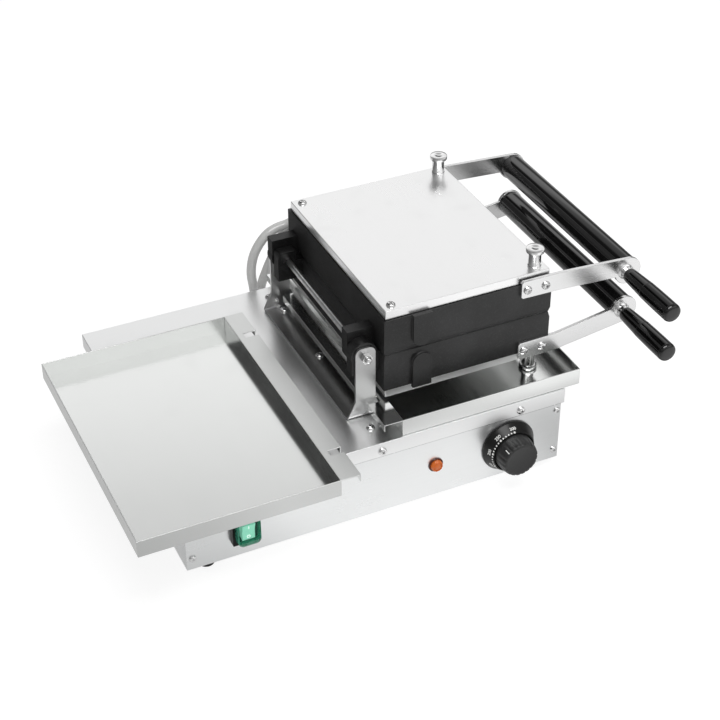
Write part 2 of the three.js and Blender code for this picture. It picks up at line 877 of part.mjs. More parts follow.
/** A folded sheet tray: floor, four walls with open corner seams, and a flange that hooks over the hinge. */
function tray(towards) {
  const halfX = trayWidth / 2;
  const halfY = trayDepth / 2;
  const span = (a, b) => (towards > 0 ? [a, b] : [-b, -a]);
  const slab = (fromX, toX, fromY, toY, fromZ, toZ) => {
    const [low, high] = span(fromX, toX);
    return solid(box([low, fromY, fromZ], [high, toY, toZ]));
  };
  const inY = halfY - traySheet - traySeam;
  const hook = halfX + trayFlange;
  const parts = [
    slab(-halfX, halfX, -halfY, halfY, 0, traySheet),
    slab(-halfX, halfX, -halfY, -halfY + traySheet, 0, trayHeight),
    slab(-halfX, halfX, halfY - traySheet, halfY, 0, trayHeight),
    slab(-halfX, -halfX + traySheet, -inY, inY, 0, trayHeight),
    slab(halfX - traySheet, halfX, -inY, inY, 0, trayHeight),
    slab(halfX - traySheet, hook, -halfY, -inY, trayHeight - traySheet, trayHeight),
    slab(halfX - traySheet, hook, inY, halfY, trayHeight - traySheet, trayHeight),
    slab(halfX - traySheet, hook, -inY, inY, trayHeight - traySheet, trayHeight),
    slab(hook - traySheet, hook, -halfY, halfY, trayHeight - trayLip, trayHeight),
  ];
  const slotHalf = bracketSheet / 2 + traySlotGap;
  const slots = [-1, 1].map((side) => {
    const y = (earOuter - bracketSheet / 2) * side;
    return slab(hook - traySlotDepth, hook + overrun, y - slotHalf, y + slotHalf, -overrun, trayHeight + overrun);
  });
  return geometryOf(cut(join(...parts), ...slots));
}

/** The thermostat's scale ring, a steep cone round the knob. */
function dialRing() {
  const bore = knobRadius + runGap * 2;
  return turnedForward([
    [bore, 0],
    [dialRadius, 0],
    [dialRadius, dialEdge],
    [dialRadius - dialEdge / 2, dialEdge + dialEdge / 2],
    [dialTopRadius, dialHeight],
    [bore, dialHeight],
    [bore, 0],
  ]);
}

/** The knob: a straight skirt inside the ring and a tapered body with an eased front edge. */
function knob() {
  const body = solid(turnedForward([
    [0, runGap],
    [knobRadius, runGap],
    [knobRadius, knobSkirt],
    [knobFaceRadius, knobReach - knobEdge],
    [knobFaceRadius - knobEdge, knobReach],
    [0, knobReach],
  ]));
  const socket = solid(alongY(circle(0, 0, shaftRadius + boreGap), -knobSkirt, overrun, smallSides));
  return geometryOf(cut(body, socket));
}

/** The thermostat behind the panel, with the shaft that carries the knob. */
function thermostat() {
  const half = thermostatSize / 2;
  const body = solid(box([-half, baseSheet, -half], [half, baseSheet + thermostatDepth, half]));
  const shaft = solid(alongY(circle(0, 0, shaftRadius), -knobSkirt + runGap, baseSheet + overrun, smallSides));
  return geometryOf(join(body, shaft));
}

/** The pilot lamp: a bezel and a domed lens in front of the panel, and its body behind. */
function pilotLamp() {
  const rim = lampRadius * lampRimShare;
  return turnedForward([
    [0, -lampBodyLength],
    [lampBodyRadius, -lampBodyLength],
    [lampBodyRadius, 0],
    [lampRadius, 0],
    [lampRadius, lampBezel],
    [rim, lampBezel],
    ...lampDomeShares.map(([across, up]) => [rim * across, lampDome * up]),
    [0, lampDome],
  ], smallSides);
}

/** The switch frame: a bezel on the panel with a pocket for the rocker, and the switch's body behind. */
function switchFrame() {
  const bezel = solid(taperedRounded(
    [bezelWidth, bezelHeight],
    [bezelWidth, bezelHeight],
    bezelCorner,
    0,
    bezelDepth,
  ));
  const pocketX = rockerWidth / 2 + pocketMargin;
  const pocketY = rockerHeight / 2 + pocketMargin;
  const pocket = solid(box([-pocketX, -pocketY, bezelFloor], [pocketX, pocketY, bezelDepth + overrun]));
  const body = solid(box(
    [-switchBodyWidth / 2, -switchBodyHeight / 2, -baseSheet - switchBodyDepth],
    [switchBodyWidth / 2, switchBodyHeight / 2, bezelFloor / 2],
  ));
  return facingForward(geometryOf(join(cut(bezel, pocket), body)));
}

/** Turns a shape drawn in X and Y with its front along Z to face forward. */
function facingForward(geometry) {
  geometry.rotateX(Math.PI / 2);
  return geometry;
}

/** The rocker: two flat faces that meet at a shallow angle over the pivot, with a pin at each side. */
function rocker() {
  const half = rockerHeight / 2;
  const lift = half * Math.tan(THREE.MathUtils.degToRad(rockerTilt));
  const shape = outline([
    [-rockerBack, -half],
    [rockerFront + lift, -half],
    [rockerFront, 0],
    [rockerFront + lift, half],
    [-rockerBack, half],
  ].map(([depth, height]) => [-depth, height]));
  const pinEnd = rockerWidth / 2 + pocketMargin - seatGap;
  const paddle = solid(alongX(shape, -rockerWidth / 2, rockerWidth / 2));
  return geometryOf(join(paddle, solid(alongX(circle(0, 0, rockerPin), -pinEnd, pinEnd, smallSides))));
}

/** The soft see-through cap over the rocker. */
function splashCap() {
  const size = (inset) => [capWidth - inset * 2, capHeight - inset * 2];
  const straight = capRise - capEdge;
  const crown = capEdge / 2;
  const outside = join(
    solid(taperedRounded(size(0), size(capTaper), capCorner, 0, straight)),
    solid(taperedRounded(size(capTaper), size(capTaper + crown), capCorner, straight, capRise)),
  );
  const inside = solid(taperedRounded(
    size(capWall),
    size(capWall + capTaper),
    capCorner - capWall,
    -overrun,
    straight,
  ));
  const hollow = solid(taperedRounded(
    size(capWall + capTaper),
    size(capWall + capTaper + crown),
    capCorner - capWall,
    straight - overrun / 2,
    capRise - capWall,
  ));
  return facingForward(geometryOf(cut(outside, inside, hollow)));
}

const machine = new THREE.Group();

/** Adds a piece at a place, in the base's own directions. */
function place(name, geometry, finish, x, y, z) {
  const mesh = piece(name, geometry, finish);
  mesh.position.set(x, y, z);
  machine.add(mesh);
  return mesh;
}

place('base_housing', baseHousing(), steel, 0, 0, 0);
place('base_cover', baseCover(), steel, 0, 0, 0);
place('front_panel', frontPanel(), steel, 0, 0, 0);

[['front', footInsetY], ['back', baseDepth - footInsetY]].forEach(([depthName, y]) => {
  [['left', footInsetX], ['right', baseWidth - footInsetX]].forEach(([sideName, x]) => {
    place(`foot_${depthName}_${sideName}`, foot(), rubber, x, y, 0);
  });
});

place('hinge_bracket', hingeBracket(), steel, axleFromLeft, hingeFromFront, coverTop);
place('axle_rod', axleRod(), polished, axleFromLeft, hingeFromFront, axleHeight);
const nutFront = hingeFromFront - earOuter - seatGap - nutLength;
const nutBack = hingeFromFront + earOuter + seatGap;
place('axle_nut_front', axleNut(), polished, axleFromLeft, nutFront, axleHeight);
place('axle_nut_back', axleNut(), polished, axleFromLeft, nutBack, axleHeight);

place('thermostat', thermostat(), blackMatt, dialFromLeft, 0, dialAboveBottom);
place('dial_ring', dialRing(), blackMatt, dialFromLeft, 0, dialAboveBottom);
place('thermostat_knob', knob(), blackMatt, dialFromLeft, 0, dialAboveBottom);
place('pilot_lamp', pilotLamp(), amberLens, lampFromLeft, 0, lampAboveBottom);
place('switch_frame', switchFrame(), blackMatt, switchFromLeft, 0, switchAboveBottom);
place('switch_cap', splashCap(), greenCap, switchFromLeft, -bezelDepth, switchAboveBottom);
const rockerPiece = place('switch_rocker', rocker(), greenRocker, switchFromLeft, -rockerPivotDepth, switchAboveBottom);
rockerPiece.rotation.x = THREE.MathUtils.degToRad(rockerTilt);

const leftTrayX = axleFromLeft - leftTrayOut - trayFlange - trayWidth / 2;
const rightTrayX = axleFromLeft + trayFromAxle + trayWidth / 2;
place('left_tray', tray(1), steel, leftTrayX, hingeFromFront - leftTrayForward, trayPlane);
place('right_tray', tray(-1), steel, rightTrayX, hingeFromFront - rightTrayForward, trayPlane);

const upperHalf = ironHalf('upper', 1, upperHandleHeight);
upperHalf.position.set(axleFromLeft, hingeFromFront, axleHeight);
machine.add(upperHalf);
const lowerHalf = ironHalf('lower', -1, lowerHandleHeight);
lowerHalf.position.set(axleFromLeft, hingeFromFront, axleHeight);
lowerHalf.rotation.x = Math.PI;
machine.add(lowerHalf);

rearOpenings().forEach(([x, z], i) => {
  const name = ['upper_lead_gland', 'lower_lead_gland', 'mains_gland'][i];
  place(name, gland(1, [0, 0, mainsBore][i]), blackMatt, x, baseDepth, z);
});

// The leads run from the back wall to the two halves, with enough slack for them to turn over.
const ironGlandX = axleFromLeft + bossFromAxle;
const ironGlandY = hingeFromFront + castDepth / 2 + bossProud + glandLength + seatGap;
const baseGlandY = baseDepth + glandLength + seatGap;

/** A lead's line: straight out of both glands, and between them at shares of the way and of the slack. */
function leadLine(fromX, toZ, shares) {
  const start = new THREE.Vector3(fromX, baseGlandY, leadAboveBottom);
  const end = new THREE.Vector3(ironGlandX, ironGlandY, toZ);
  const stub = new THREE.Vector3(0, leadStub, 0);
  const between = shares.map(([across, slack, up]) => new THREE.Vector3(
    THREE.MathUtils.lerp(start.x, end.x, across),
    THREE.MathUtils.lerp(start.y, end.y, up) + leadSlack * slack,
    THREE.MathUtils.lerp(start.z, end.z, up),
  ));
  const points = [start, start.clone().add(stub), ...between, end.clone().add(stub), end];
  return new THREE.CatmullRomCurve3(points, false, 'centripetal');
}

const upperLead = leadLine(axleFromLeft + upperLeadFromAxle, axleHeight + ironGlandHeight, upperLeadShares);
const lowerLead = leadLine(axleFromLeft + lowerLeadFromAxle, axleHeight - ironGlandHeight, lowerLeadShares);
place('upper_lead', alongCurve(upperLead, leadRadius, upperLeadSteps), leadGrey, 0, 0, 0);
place('lower_lead', alongCurve(lowerLead, leadRadius, lowerLeadSteps), leadGrey, 0, 0, 0);

// The part's origin is the middle of its outer box, on the floor.
machine.updateMatrixWorld(true);
const reach = new THREE.Box3().setFromObject(machine, true);
const middle = reach.getCenter(new THREE.Vector3());
machine.position.set(-middle.x, -middle.y, -reach.min.z);
machine.updateMatrixWorld(true);

export default machine;
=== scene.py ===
"""A rotary waffle iron on its stainless base, dressed for a studio picture.

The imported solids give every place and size. This script copies their meshes, eases their edges, models the
round, soft and small pieces anew, gives each piece its finish, and sets the floor, the lights and the camera.
Lengths in the classes are millimetres in the machine's own frame: x from the base's left face, y from the
front panel's face, z from the underside of the base box.
"""

import json
import logging
import math
from contextlib import contextmanager
from dataclasses import dataclass, field
from enum import Enum
from typing import Any, Callable, Iterator, Optional, Sequence, Union

import bmesh
import bpy
from mathutils import Matrix, Vector

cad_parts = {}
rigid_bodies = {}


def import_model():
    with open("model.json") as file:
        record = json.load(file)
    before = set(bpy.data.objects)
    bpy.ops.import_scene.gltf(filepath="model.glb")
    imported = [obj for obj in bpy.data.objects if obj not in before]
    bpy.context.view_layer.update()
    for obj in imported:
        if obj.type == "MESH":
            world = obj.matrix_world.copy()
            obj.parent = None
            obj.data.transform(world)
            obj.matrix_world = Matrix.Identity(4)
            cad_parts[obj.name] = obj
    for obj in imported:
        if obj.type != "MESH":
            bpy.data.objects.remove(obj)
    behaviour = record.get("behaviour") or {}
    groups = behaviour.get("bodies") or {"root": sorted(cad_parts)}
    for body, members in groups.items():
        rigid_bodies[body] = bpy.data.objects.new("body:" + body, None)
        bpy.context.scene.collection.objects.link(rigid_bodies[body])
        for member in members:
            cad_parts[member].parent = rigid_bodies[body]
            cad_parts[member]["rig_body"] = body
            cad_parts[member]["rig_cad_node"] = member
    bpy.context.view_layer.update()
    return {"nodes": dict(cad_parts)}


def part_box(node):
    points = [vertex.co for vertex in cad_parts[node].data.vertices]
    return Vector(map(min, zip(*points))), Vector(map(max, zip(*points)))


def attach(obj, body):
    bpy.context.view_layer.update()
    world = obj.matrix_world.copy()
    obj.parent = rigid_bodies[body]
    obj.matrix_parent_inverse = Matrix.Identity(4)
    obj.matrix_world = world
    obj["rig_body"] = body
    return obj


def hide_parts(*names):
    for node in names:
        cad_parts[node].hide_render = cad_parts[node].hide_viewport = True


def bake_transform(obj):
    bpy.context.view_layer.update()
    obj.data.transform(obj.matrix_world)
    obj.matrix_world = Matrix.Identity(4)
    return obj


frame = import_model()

LOG = logging.getLogger("waffle_iron")
MM = 0.001
MERGE = 0.001 * MM
WHITE = (1.0, 1.0, 1.0)
AXLE = (225.0, 162.5, 173.0)
HALFWAY = (0.45, 0.55)
Piece = bpy.types.Object
Point = Sequence[float]
Pair = tuple[float, float]
Pairs = tuple[Pair, ...]
Triple = tuple[float, float, float]
Colour = Triple
Key = Union[int, str]
Settings = Optional[dict[str, Any]]
Inputs = Optional[dict[Key, Any]]


# Shader expressions


class Value:
    """A shader socket that maths can be written on."""

    def __init__(self, tree: "Tree", socket: bpy.types.NodeSocket) -> None:
        """Wraps a socket.

        Args:
            tree: the tree that the socket's node is in.
            socket: the output socket.
        """
        self.tree = tree
        self.socket = socket

    def _maths(self, operation: str, first: Any, second: Any) -> "Value":
        """Adds a Math node for one operation."""
        return self.tree.value("ShaderNodeMath", {"operation": operation}, {0: first, 1: second})

    def __add__(self, other: Any) -> "Value":
        """Self plus other."""
        return self._maths("ADD", self, other)

    def __radd__(self, other: Any) -> "Value":
        """Other plus self."""
        return self._maths("ADD", other, self)

    def __sub__(self, other: Any) -> "Value":
        """Self minus other."""
        return self._maths("SUBTRACT", self, other)

    def __rsub__(self, other: Any) -> "Value":
        """Other minus self."""
        return self._maths("SUBTRACT", other, self)

    def __mul__(self, other: Any) -> "Value":
        """Self times other."""
        return self._maths("MULTIPLY", self, other)

    def __rmul__(self, other: Any) -> "Value":
        """Other times self."""
        return self._maths("MULTIPLY", other, self)

    def over(self, low: float, high: float) -> "Value":
        """Nought at low and one at high, clamped, with a soft start and end."""
        inputs = {"Value": self, "From Min": low, "From Max": high}
        return self.tree.value("ShaderNodeMapRange", {"interpolation_type": "SMOOTHSTEP"}, inputs)


class Tree:
    """A node tree that a finish or the sky is built in."""

    def __init__(self, nodes: bpy.types.NodeTree) -> None:
        """Clears the tree and keeps it.

        Args:
            nodes: the tree of a material or of the world.
        """
        self.nodes = nodes
        nodes.nodes.clear()

    def node(self, kind: str, settings: Settings = None, inputs: Inputs = None) -> bpy.types.Node:
        """Adds one node.

        Args:
            kind: the node's type.
            settings: its settings, or the stops of a ramp under the name stops, which are set first.
            inputs: a value or a link for each socket that is named or numbered.

        Returns:
            The node.
        """
        made = self.nodes.nodes.new(kind)
        for name, setting in (settings or {}).items():
            if name == "stops":
                ramp = made.color_ramp
                while len(ramp.elements) < len(setting):
                    ramp.elements.new(0.5)
                for element, (place, level) in zip(ramp.elements, setting):
                    element.position = place
                    element.color = (level, level, level, 1.0)
            else:
                setattr(made, name, setting)
        for name, given in (inputs or {}).items():
            socket = made.inputs[name]
            if isinstance(given, Value):
                self.nodes.links.new(given.socket, socket)
            elif socket.type == "RGBA":
                socket.default_value = (*given, 1.0)
            else:
                socket.default_value = given
        return made

    def value(self, kind: str, settings: Settings = None, inputs: Inputs = None, out: Key = 0) -> Value:
        """Adds one node and wraps one of its outputs.

        Args:
            kind: the node's type.
            settings: its settings.
            inputs: its sockets' values or links.
            out: the name or number of the output.

        Returns:
            The wrapped output.
        """
        return Value(self, self.node(kind, settings, inputs).outputs[out])

    def axes(self, vector: Value) -> list[Value]:
        """The parts of a vector along x, y and z."""
        split = self.node("ShaderNodeSeparateXYZ", None, {0: vector})
        return [Value(self, part) for part in split.outputs]

    def rays(self) -> list[Value]:
        """One for rays from the camera, for mirrored rays and for rays through glass, in that order."""
        path = self.node("ShaderNodeLightPath")
        return [Value(self, path.outputs[f"Is {kind} Ray"]) for kind in ("Camera", "Glossy", "Transmission")]

    def place(self) -> Value:
        """The point of the surface in metres."""
        return self.value("ShaderNodeTexCoord", out="Object")

    def stretched(self, scale: Point) -> Value:
        """The point of the surface, scaled along each axis."""
        return self.value("ShaderNodeMapping", None, {"Vector": self.place(), "Scale": tuple(scale)})

    def facing(self, axis: int) -> Value:
        """One where the surface faces along an axis, either way, and nought elsewhere."""
        part = self.axes(self.value("ShaderNodeTexCoord", out="Normal"))[axis]
        return (part * part).over(*HALFWAY)

    def point_between(self, share: Value, first: Value, second: Value) -> Value:
        """A point between two points.

        Args:
            share: nought for the first and one for the second.
            first: the first point.
            second: the second point.

        Returns:
            The point.
        """
        inputs = {0: share, 4: first, 5: second}
        return self.value("ShaderNodeMix", {"data_type": "VECTOR"}, inputs, 1)

    def noise(self, at: Value, scale: float, detail: float = 2.0, rough: float = 0.5) -> Value:
        """Soft noise from nought to one.

        Args:
            at: the point that it is read at.
            scale: features per metre.
            detail: how many finer layers it has.
            rough: the weight of the finer layers.

        Returns:
            The noise.
        """
        inputs = {"Vector": at, "Scale": scale, "Detail": detail, "Roughness": rough}
        return self.value("ShaderNodeTexNoise", None, inputs, "Fac")

    def clouds(self, scale: float) -> Value:
        """Noise with finer layers, at so many features per metre of the surface."""
        return self.noise(self.place(), scale, detail=3.0)

    def blend(self, share: Any, first: Any, second: Any) -> Value:
        """A colour between two colours.

        Args:
            share: nought for the first and one for the second.
            first: the first colour.
            second: the second colour.

        Returns:
            The mixed colour.
        """
        inputs = {0: share, 6: first, 7: second}
        return self.value("ShaderNodeMix", {"data_type": "RGBA"}, inputs, 2)

    def ramp(self, share: Value, stops: Sequence[Pair]) -> Value:
        """A level that follows a row of stops.

        Args:
            share: the place along the row, from nought to one.
            stops: the place and the level of each stop.

        Returns:
            The level.
        """
        return self.value("ShaderNodeValToRGB", {"stops": stops}, {0: share}, "Color")

    def bump(self, height: Value, strength: float, depth: float) -> Value:
        """A normal that follows a height.

        Args:
            height: the height from nought to one.
            strength: how much of it shows.
            depth: the depth in metres that one stands for.

        Returns:
            The normal.
        """
        inputs = {"Height": height, "Strength": strength, "Distance": depth}
        return self.value("ShaderNodeBump", None, inputs, "Normal")


class Grain(Enum):
    """The direction that a sheet is brushed in: the scale of its grain along each axis."""

    ACROSS = (14.0, 1300.0, 1300.0)
    ALONG = (1300.0, 14.0, 1300.0)


def toned(colour: Colour, share: float, lift: float = 0.0) -> Colour:
    """A colour times a share plus a lift, clipped at one."""
    return tuple(min(1.0, part * share + lift) for part in colour)


@dataclass(frozen=True)
class Finish:
    """A finish, whose material is made once for each name."""

    name: str

    def material(self) -> bpy.types.Material:
        """The finish's material.

        Returns:
            The material, made when it is asked for the first time.
        """
        name = f"{self.name}_finish"
        if name not in bpy.data.materials:
            material = bpy.data.materials.new(name)
            material.use_nodes = True
            tree = Tree(material.node_tree)
            surface = tree.value("ShaderNodeBsdfPrincipled", None, self.sockets(tree), "BSDF")
            tree.node("ShaderNodeOutputMaterial", None, {"Surface": surface})
        return bpy.data.materials[name]

    def sockets(self, tree: Tree) -> dict[str, Any]:
        """What the surface shader is fed with."""
        raise NotImplementedError


@dataclass(frozen=True)
class BrushedSheet(Finish):
    """Stainless sheet with a fine brushed grain, faint clouds and rubbed patches.

    It may have a painted shadow line, a dark band that stands in for the shade under a lapped edge, or a
    duller ledge: either starts just below the height that is given.
    """

    tint: Colour
    rough: float
    grain: Grain = Grain.ACROSS
    streaks: float = 0.05
    clouds: float = 0.05
    wide_grain: float = 0.22
    cloud_scale: float = 11.0
    rub_scale: float = 38.0
    rub_levels: Pair = (0.55, 0.75)
    rub: float = 0.02
    tones: Pair = (0.86, 1.10)
    contrast: float = 4.0
    swing: float = 0.6
    relief: Pair = (0.02, 0.1 * MM)
    # Painted shadow line: its height, its dark tint and how far it darkens the sheet.
    shadow_line: float = 0.0
    shadow_line_tint: Colour = (0.05, 0.05, 0.05)
    shadow_line_share: float = 0.85
    ledge: float = 0.0
    ledge_dull: float = 0.20
    below: Pair = (0.9 * MM, 0.3 * MM)

    def sockets(self, tree: Tree) -> dict[str, Any]:
        """The surface shader's sockets.

        Args:
            tree: the tree that their nodes go in.

        Returns:
            The value or link of each socket.
        """
        along = self.grain is Grain.ALONG
        grains = (self.grain.value, (Grain.ACROSS if along else Grain.ALONG).value)
        facing = tree.facing(1 if along else 0)
        fine, wide = (
            tree.noise(
                tree.point_between(facing, *(tree.stretched([n * scale for n in way]) for way in grains)),
                scale=1.0,
                detail=3.0,
                rough=0.6,
            )
            for scale in (1.0, self.wide_grain)
        )
        cloud = tree.clouds(self.cloud_scale)
        rubbed = tree.noise(tree.place(), self.rub_scale).over(*self.rub_levels)
        shade = (fine * 0.5 + wide * 0.5 - 0.5) * self.streaks + (cloud - 0.5) * self.clouds
        darker, paler = (toned(self.tint, tone) for tone in self.tones)
        colour = tree.blend(shade * self.contrast + 0.5, darker, paler)
        rough = self.rough + shade * self.swing + rubbed * self.rub
        # Painted shade: darkens the sheet from just below the shadow line's height upwards, where a lapped
        # edge would shade it.
        if self.shadow_line > 0:
            colour = tree.blend(self._above(tree, self.shadow_line) * self.shadow_line_share, colour, self.shadow_line_tint)
        if self.ledge > 0:
            rough = rough + self._above(tree, self.ledge) * self.ledge_dull
        return {
            "Base Color": colour,
            "Metallic": 1.0,
            "Roughness": rough,
            "Normal": tree.bump(fine, *self.relief),
        }

    def _above(self, tree: Tree, height: float) -> Value:
        """One from just below a height upwards, nought under it."""
        return tree.axes(tree.place())[2].over(height - self.below[0], height - self.below[1])


@dataclass(frozen=True)
class BrightSteel(Finish):
    """Turned or plated steel that is polished nearly to a mirror, with faint turning lines."""

    tint: Colour
    rough: float
    turning: Triple = (300.0, 300.0, 2600.0)
    wear_scale: float = 160.0
    wear_levels: Pair = (0.35, 0.75)
    worn_tone: float = 0.8
    swings: Pair = (0.10, 0.05)
    relief: Pair = (0.05, 0.1 * MM)

    def sockets(self, tree: Tree) -> dict[str, Any]:
        """The surface shader's sockets.

        Args:
            tree: the tree that their nodes go in.

        Returns:
            The value or link of each socket.
        """
        lines = tree.noise(tree.stretched(self.turning), scale=1.0)
        worn = tree.clouds(self.wear_scale)
        dull, ridged = self.swings
        duller = toned(self.tint, self.worn_tone)
        return {
            "Base Color": tree.blend(worn.over(*self.wear_levels), self.tint, duller),
            "Metallic": 1.0,
            "Roughness": self.rough + (worn - 0.5) * dull + (lines - 0.5) * ridged,
            "Normal": tree.bump(lines, *self.relief),
        }


@dataclass(frozen=True)
class CastIron(Finish):
    """Blackened cast iron: grainy from the sand, a little paler where it has been rubbed."""

    dark: Colour
    pale: Colour
    rough: float
    grain: float = 640.0
    lump_scale: float = 170.0
    stain_scale: float = 24.0
    rub_levels: Pair = (0.50, 0.72)
    rub: float = 0.55
    stain_levels: Pair = (0.35, 0.75)
    stain: float = 0.35
    swings: Triple = (0.35, 0.10, 0.35)
    heights: Pair = (0.75, 0.6)
    relief: Pair = (0.35, 0.6 * MM)

    def sockets(self, tree: Tree) -> dict[str, Any]:
        """The surface shader's sockets.

        Args:
            tree: the tree that their nodes go in.

        Returns:
            The value or link of each socket.
        """
        sand = tree.noise(tree.place(), self.grain, detail=3.0, rough=0.7)
        lumps = tree.clouds(self.lump_scale)
        stain = tree.clouds(self.stain_scale)
        worn = sand.over(*self.rub_levels) * self.rub + stain.over(*self.stain_levels) * self.stain
        gritty, stained, machined = self.swings
        rough = self.rough + (sand - 0.5) * gritty + (stain - 0.5) * stained + tree.facing(0) * machined
        return {
            "Base Color": tree.blend(worn, self.dark, self.pale),
            "Roughness": rough,
            "Normal": tree.bump(sand * self.heights[0] + lumps * self.heights[1], *self.relief),
        }


@dataclass(frozen=True)
class Moulded(Finish):
    """Moulded plastic or rubber, with a fine skin and a little dust."""

    colour: Colour
    rough: float
    skin: float
    skin_scale: float
    gloss: float
    dust: float
    cloud_scale: float = 60.0
    dust_levels: Pair = (0.40, 0.80)
    dust_weight: float = 2.0
    dusty_tone: Pair = (1.25, 0.02)
    dull: Triple = (0.25, 0.15, 0.80)
    skin_depth: float = 0.2 * MM

    def sockets(self, tree: Tree) -> dict[str, Any]:
        """The surface shader's sockets.

        Args:
            tree: the tree that their nodes go in.

        Returns:
            The value or link of each socket.
        """
        grain = tree.noise(tree.place(), self.skin_scale)
        cloud = tree.clouds(self.cloud_scale)
        dusty = cloud.over(*self.dust_levels) * self.dust * self.dust_weight
        cloudy, grainy, least = self.dull
        sockets = {
            "Base Color": tree.blend(dusty, self.colour, toned(self.colour, *self.dusty_tone)),
            "Roughness": (cloud * cloudy + grain * grainy + least) * self.rough,
            "Specular IOR Level": self.gloss,
        }
        if self.skin > 0:
            sockets["Normal"] = tree.bump(grain, self.skin, self.skin_depth)
        return sockets


@dataclass(frozen=True)
class ClearPlastic(Finish):
    """A tinted cap that light passes through: clear in front, denser where its rim is seen edge on."""

    tint: Colour
    rough: float
    front: float
    rim: float
    cloud_scale: float = 220.0
    tone: float = 0.8
    swings: Pair = (0.10, 0.04)
    relief: Pair = (0.10, 0.3 * MM)

    def sockets(self, tree: Tree) -> dict[str, Any]:
        """The surface shader's sockets.

        Args:
            tree: the tree that their nodes go in.

        Returns:
            The value or link of each socket.
        """
        cloud = tree.clouds(self.cloud_scale)
        dull, dense = self.swings
        return {
            "Base Color": tree.blend(cloud, self.tint, toned(self.tint, self.tone)),
            "Roughness": self.rough + (cloud - 0.5) * dull,
            "Normal": tree.bump(cloud, *self.relief),
            "Alpha": tree.facing(1) * (self.front - self.rim) + self.rim + (cloud - 0.5) * dense,
        }


@dataclass(frozen=True)
class Glowing(Finish):
    """Plastic that a small lamp behind it lights a little."""

    colour: Colour
    glow: float
    rough: float = 0.35
    cloud_scale: float = 120.0
    tone: float = 0.85
    swing: float = 0.10

    def sockets(self, tree: Tree) -> dict[str, Any]:
        """The surface shader's sockets.

        Args:
            tree: the tree that their nodes go in.

        Returns:
            The value or link of each socket.
        """
        cloud = tree.clouds(self.cloud_scale)
        tint = tree.blend(cloud, self.colour, toned(self.colour, self.tone))
        return {
            "Base Color": tint,
            "Roughness": self.rough + (cloud - 0.5) * self.swing,
            "Emission Color": tint,
            "Emission Strength": self.glow,
        }


@dataclass(frozen=True)
class Finishes:
    """Every finish of the machine, by the piece that wears it."""

    cover: Finish = BrushedSheet("brushed_cover", (0.92, 0.93, 0.93), rough=0.31)
    panel: Finish = BrushedSheet("brushed_panel", (0.86, 0.87, 0.87), rough=0.28)
    # The front panel carries a painted shadow line: a dark band of painted shade just under the cover's
    # lapped flange.
    front: Finish = BrushedSheet("brushed_front", (0.86, 0.87, 0.87), rough=0.28, shadow_line=86.9 * MM)
    left_tray: Finish = BrushedSheet(
        "brushed_left_tray", (0.81, 0.82, 0.81), rough=0.17, grain=Grain.ALONG, ledge=126.6 * MM
    )
    right_tray: Finish = BrushedSheet(
        "brushed_right_tray", (0.82, 0.83, 0.82), rough=0.14, grain=Grain.ALONG
    )
    lid: Finish = BrushedSheet("brushed_lid", (0.96, 0.96, 0.96), rough=0.28, grain=Grain.ALONG)
    bracket: Finish = BrushedSheet("brushed_bracket", (0.60, 0.60, 0.60), rough=0.29, grain=Grain.ALONG)
    strap: Finish = BrushedSheet("brushed_strap", (0.80, 0.80, 0.80), rough=0.26)
    bright: Finish = BrightSteel("bright_steel", (0.84, 0.84, 0.84), rough=0.12)
    rod: Finish = BrightSteel("bright_rod", (0.74, 0.74, 0.74), rough=0.32)
    iron: Finish = CastIron("cast_iron", (0.003, 0.003, 0.003), (0.036, 0.036, 0.037), rough=0.38)
    heater: Finish = BrushedSheet("heater_sheath", (0.36, 0.35, 0.34), rough=0.42)
    tube: Finish = Moulded(
        "black_lacquer", (0.008, 0.008, 0.008), rough=0.07, skin=0.0, skin_scale=500.0, gloss=0.7, dust=0.02
    )
    grip: Finish = Moulded(
        "black_grip", (0.002, 0.002, 0.002), rough=0.11, skin=0.0, skin_scale=700.0, gloss=0.6, dust=0.02
    )
    knob: Finish = Moulded(
        "knob_black", (0.016, 0.016, 0.016), rough=0.42, skin=0.35, skin_scale=1500.0, gloss=0.5, dust=0.12
    )
    ring: Finish = Moulded(
        "dial_black", (0.004, 0.004, 0.004), rough=0.30, skin=0.12, skin_scale=1500.0, gloss=0.35, dust=0.04
    )
    switch: Finish = Moulded(
        "switch_black", (0.003, 0.003, 0.003), rough=0.38, skin=0.20, skin_scale=1500.0, gloss=0.2, dust=0.02
    )
    rubber: Finish = Moulded(
        "foot_rubber", (0.012, 0.012, 0.012), rough=0.65, skin=0.35, skin_scale=1100.0, gloss=0.4, dust=0.2
    )
    mark: Finish = Moulded(
        "white_mark", (0.90, 0.90, 0.88), rough=0.50, skin=0.10, skin_scale=1500.0, gloss=0.4, dust=0.05
    )
    lit_mark: Finish = Glowing("lit_mark", (0.95, 0.98, 0.95), glow=0.75)
    lead: Finish = Moulded(
        "grey_lead", (0.74, 0.74, 0.73), rough=0.22, skin=0.10, skin_scale=600.0, gloss=0.7, dust=0.10
    )
    gland: Finish = Moulded(
        "gland_black", (0.013, 0.013, 0.013), rough=0.45, skin=0.25, skin_scale=1400.0, gloss=0.5, dust=0.2
    )
    cap: Finish = ClearPlastic("green_cap", (0.06, 0.50, 0.31), rough=0.10, front=0.08, rim=0.70)
    rocker: Finish = Glowing("mint_rocker", (0.36, 0.88, 0.66), glow=0.35)
    lens: Finish = Glowing("amber_lens", (0.62, 0.135, 0.018), glow=0.10, rough=0.10)
    lens_ring: Finish = Moulded(
        "lens_ring", (0.085, 0.016, 0.006), rough=0.25, skin=0.10, skin_scale=900.0, gloss=0.5, dust=0.1
    )


FINISH = Finishes()


# Bench: the tools that every sub-assembly is made with


class Kind(Enum):
    """What is picked in edit mode: the name of its select mode, and of its list in the edit mesh."""

    FACES = ("FACE", "faces")
    EDGES = ("EDGE", "edges")
    POINTS = ("VERT", "verts")


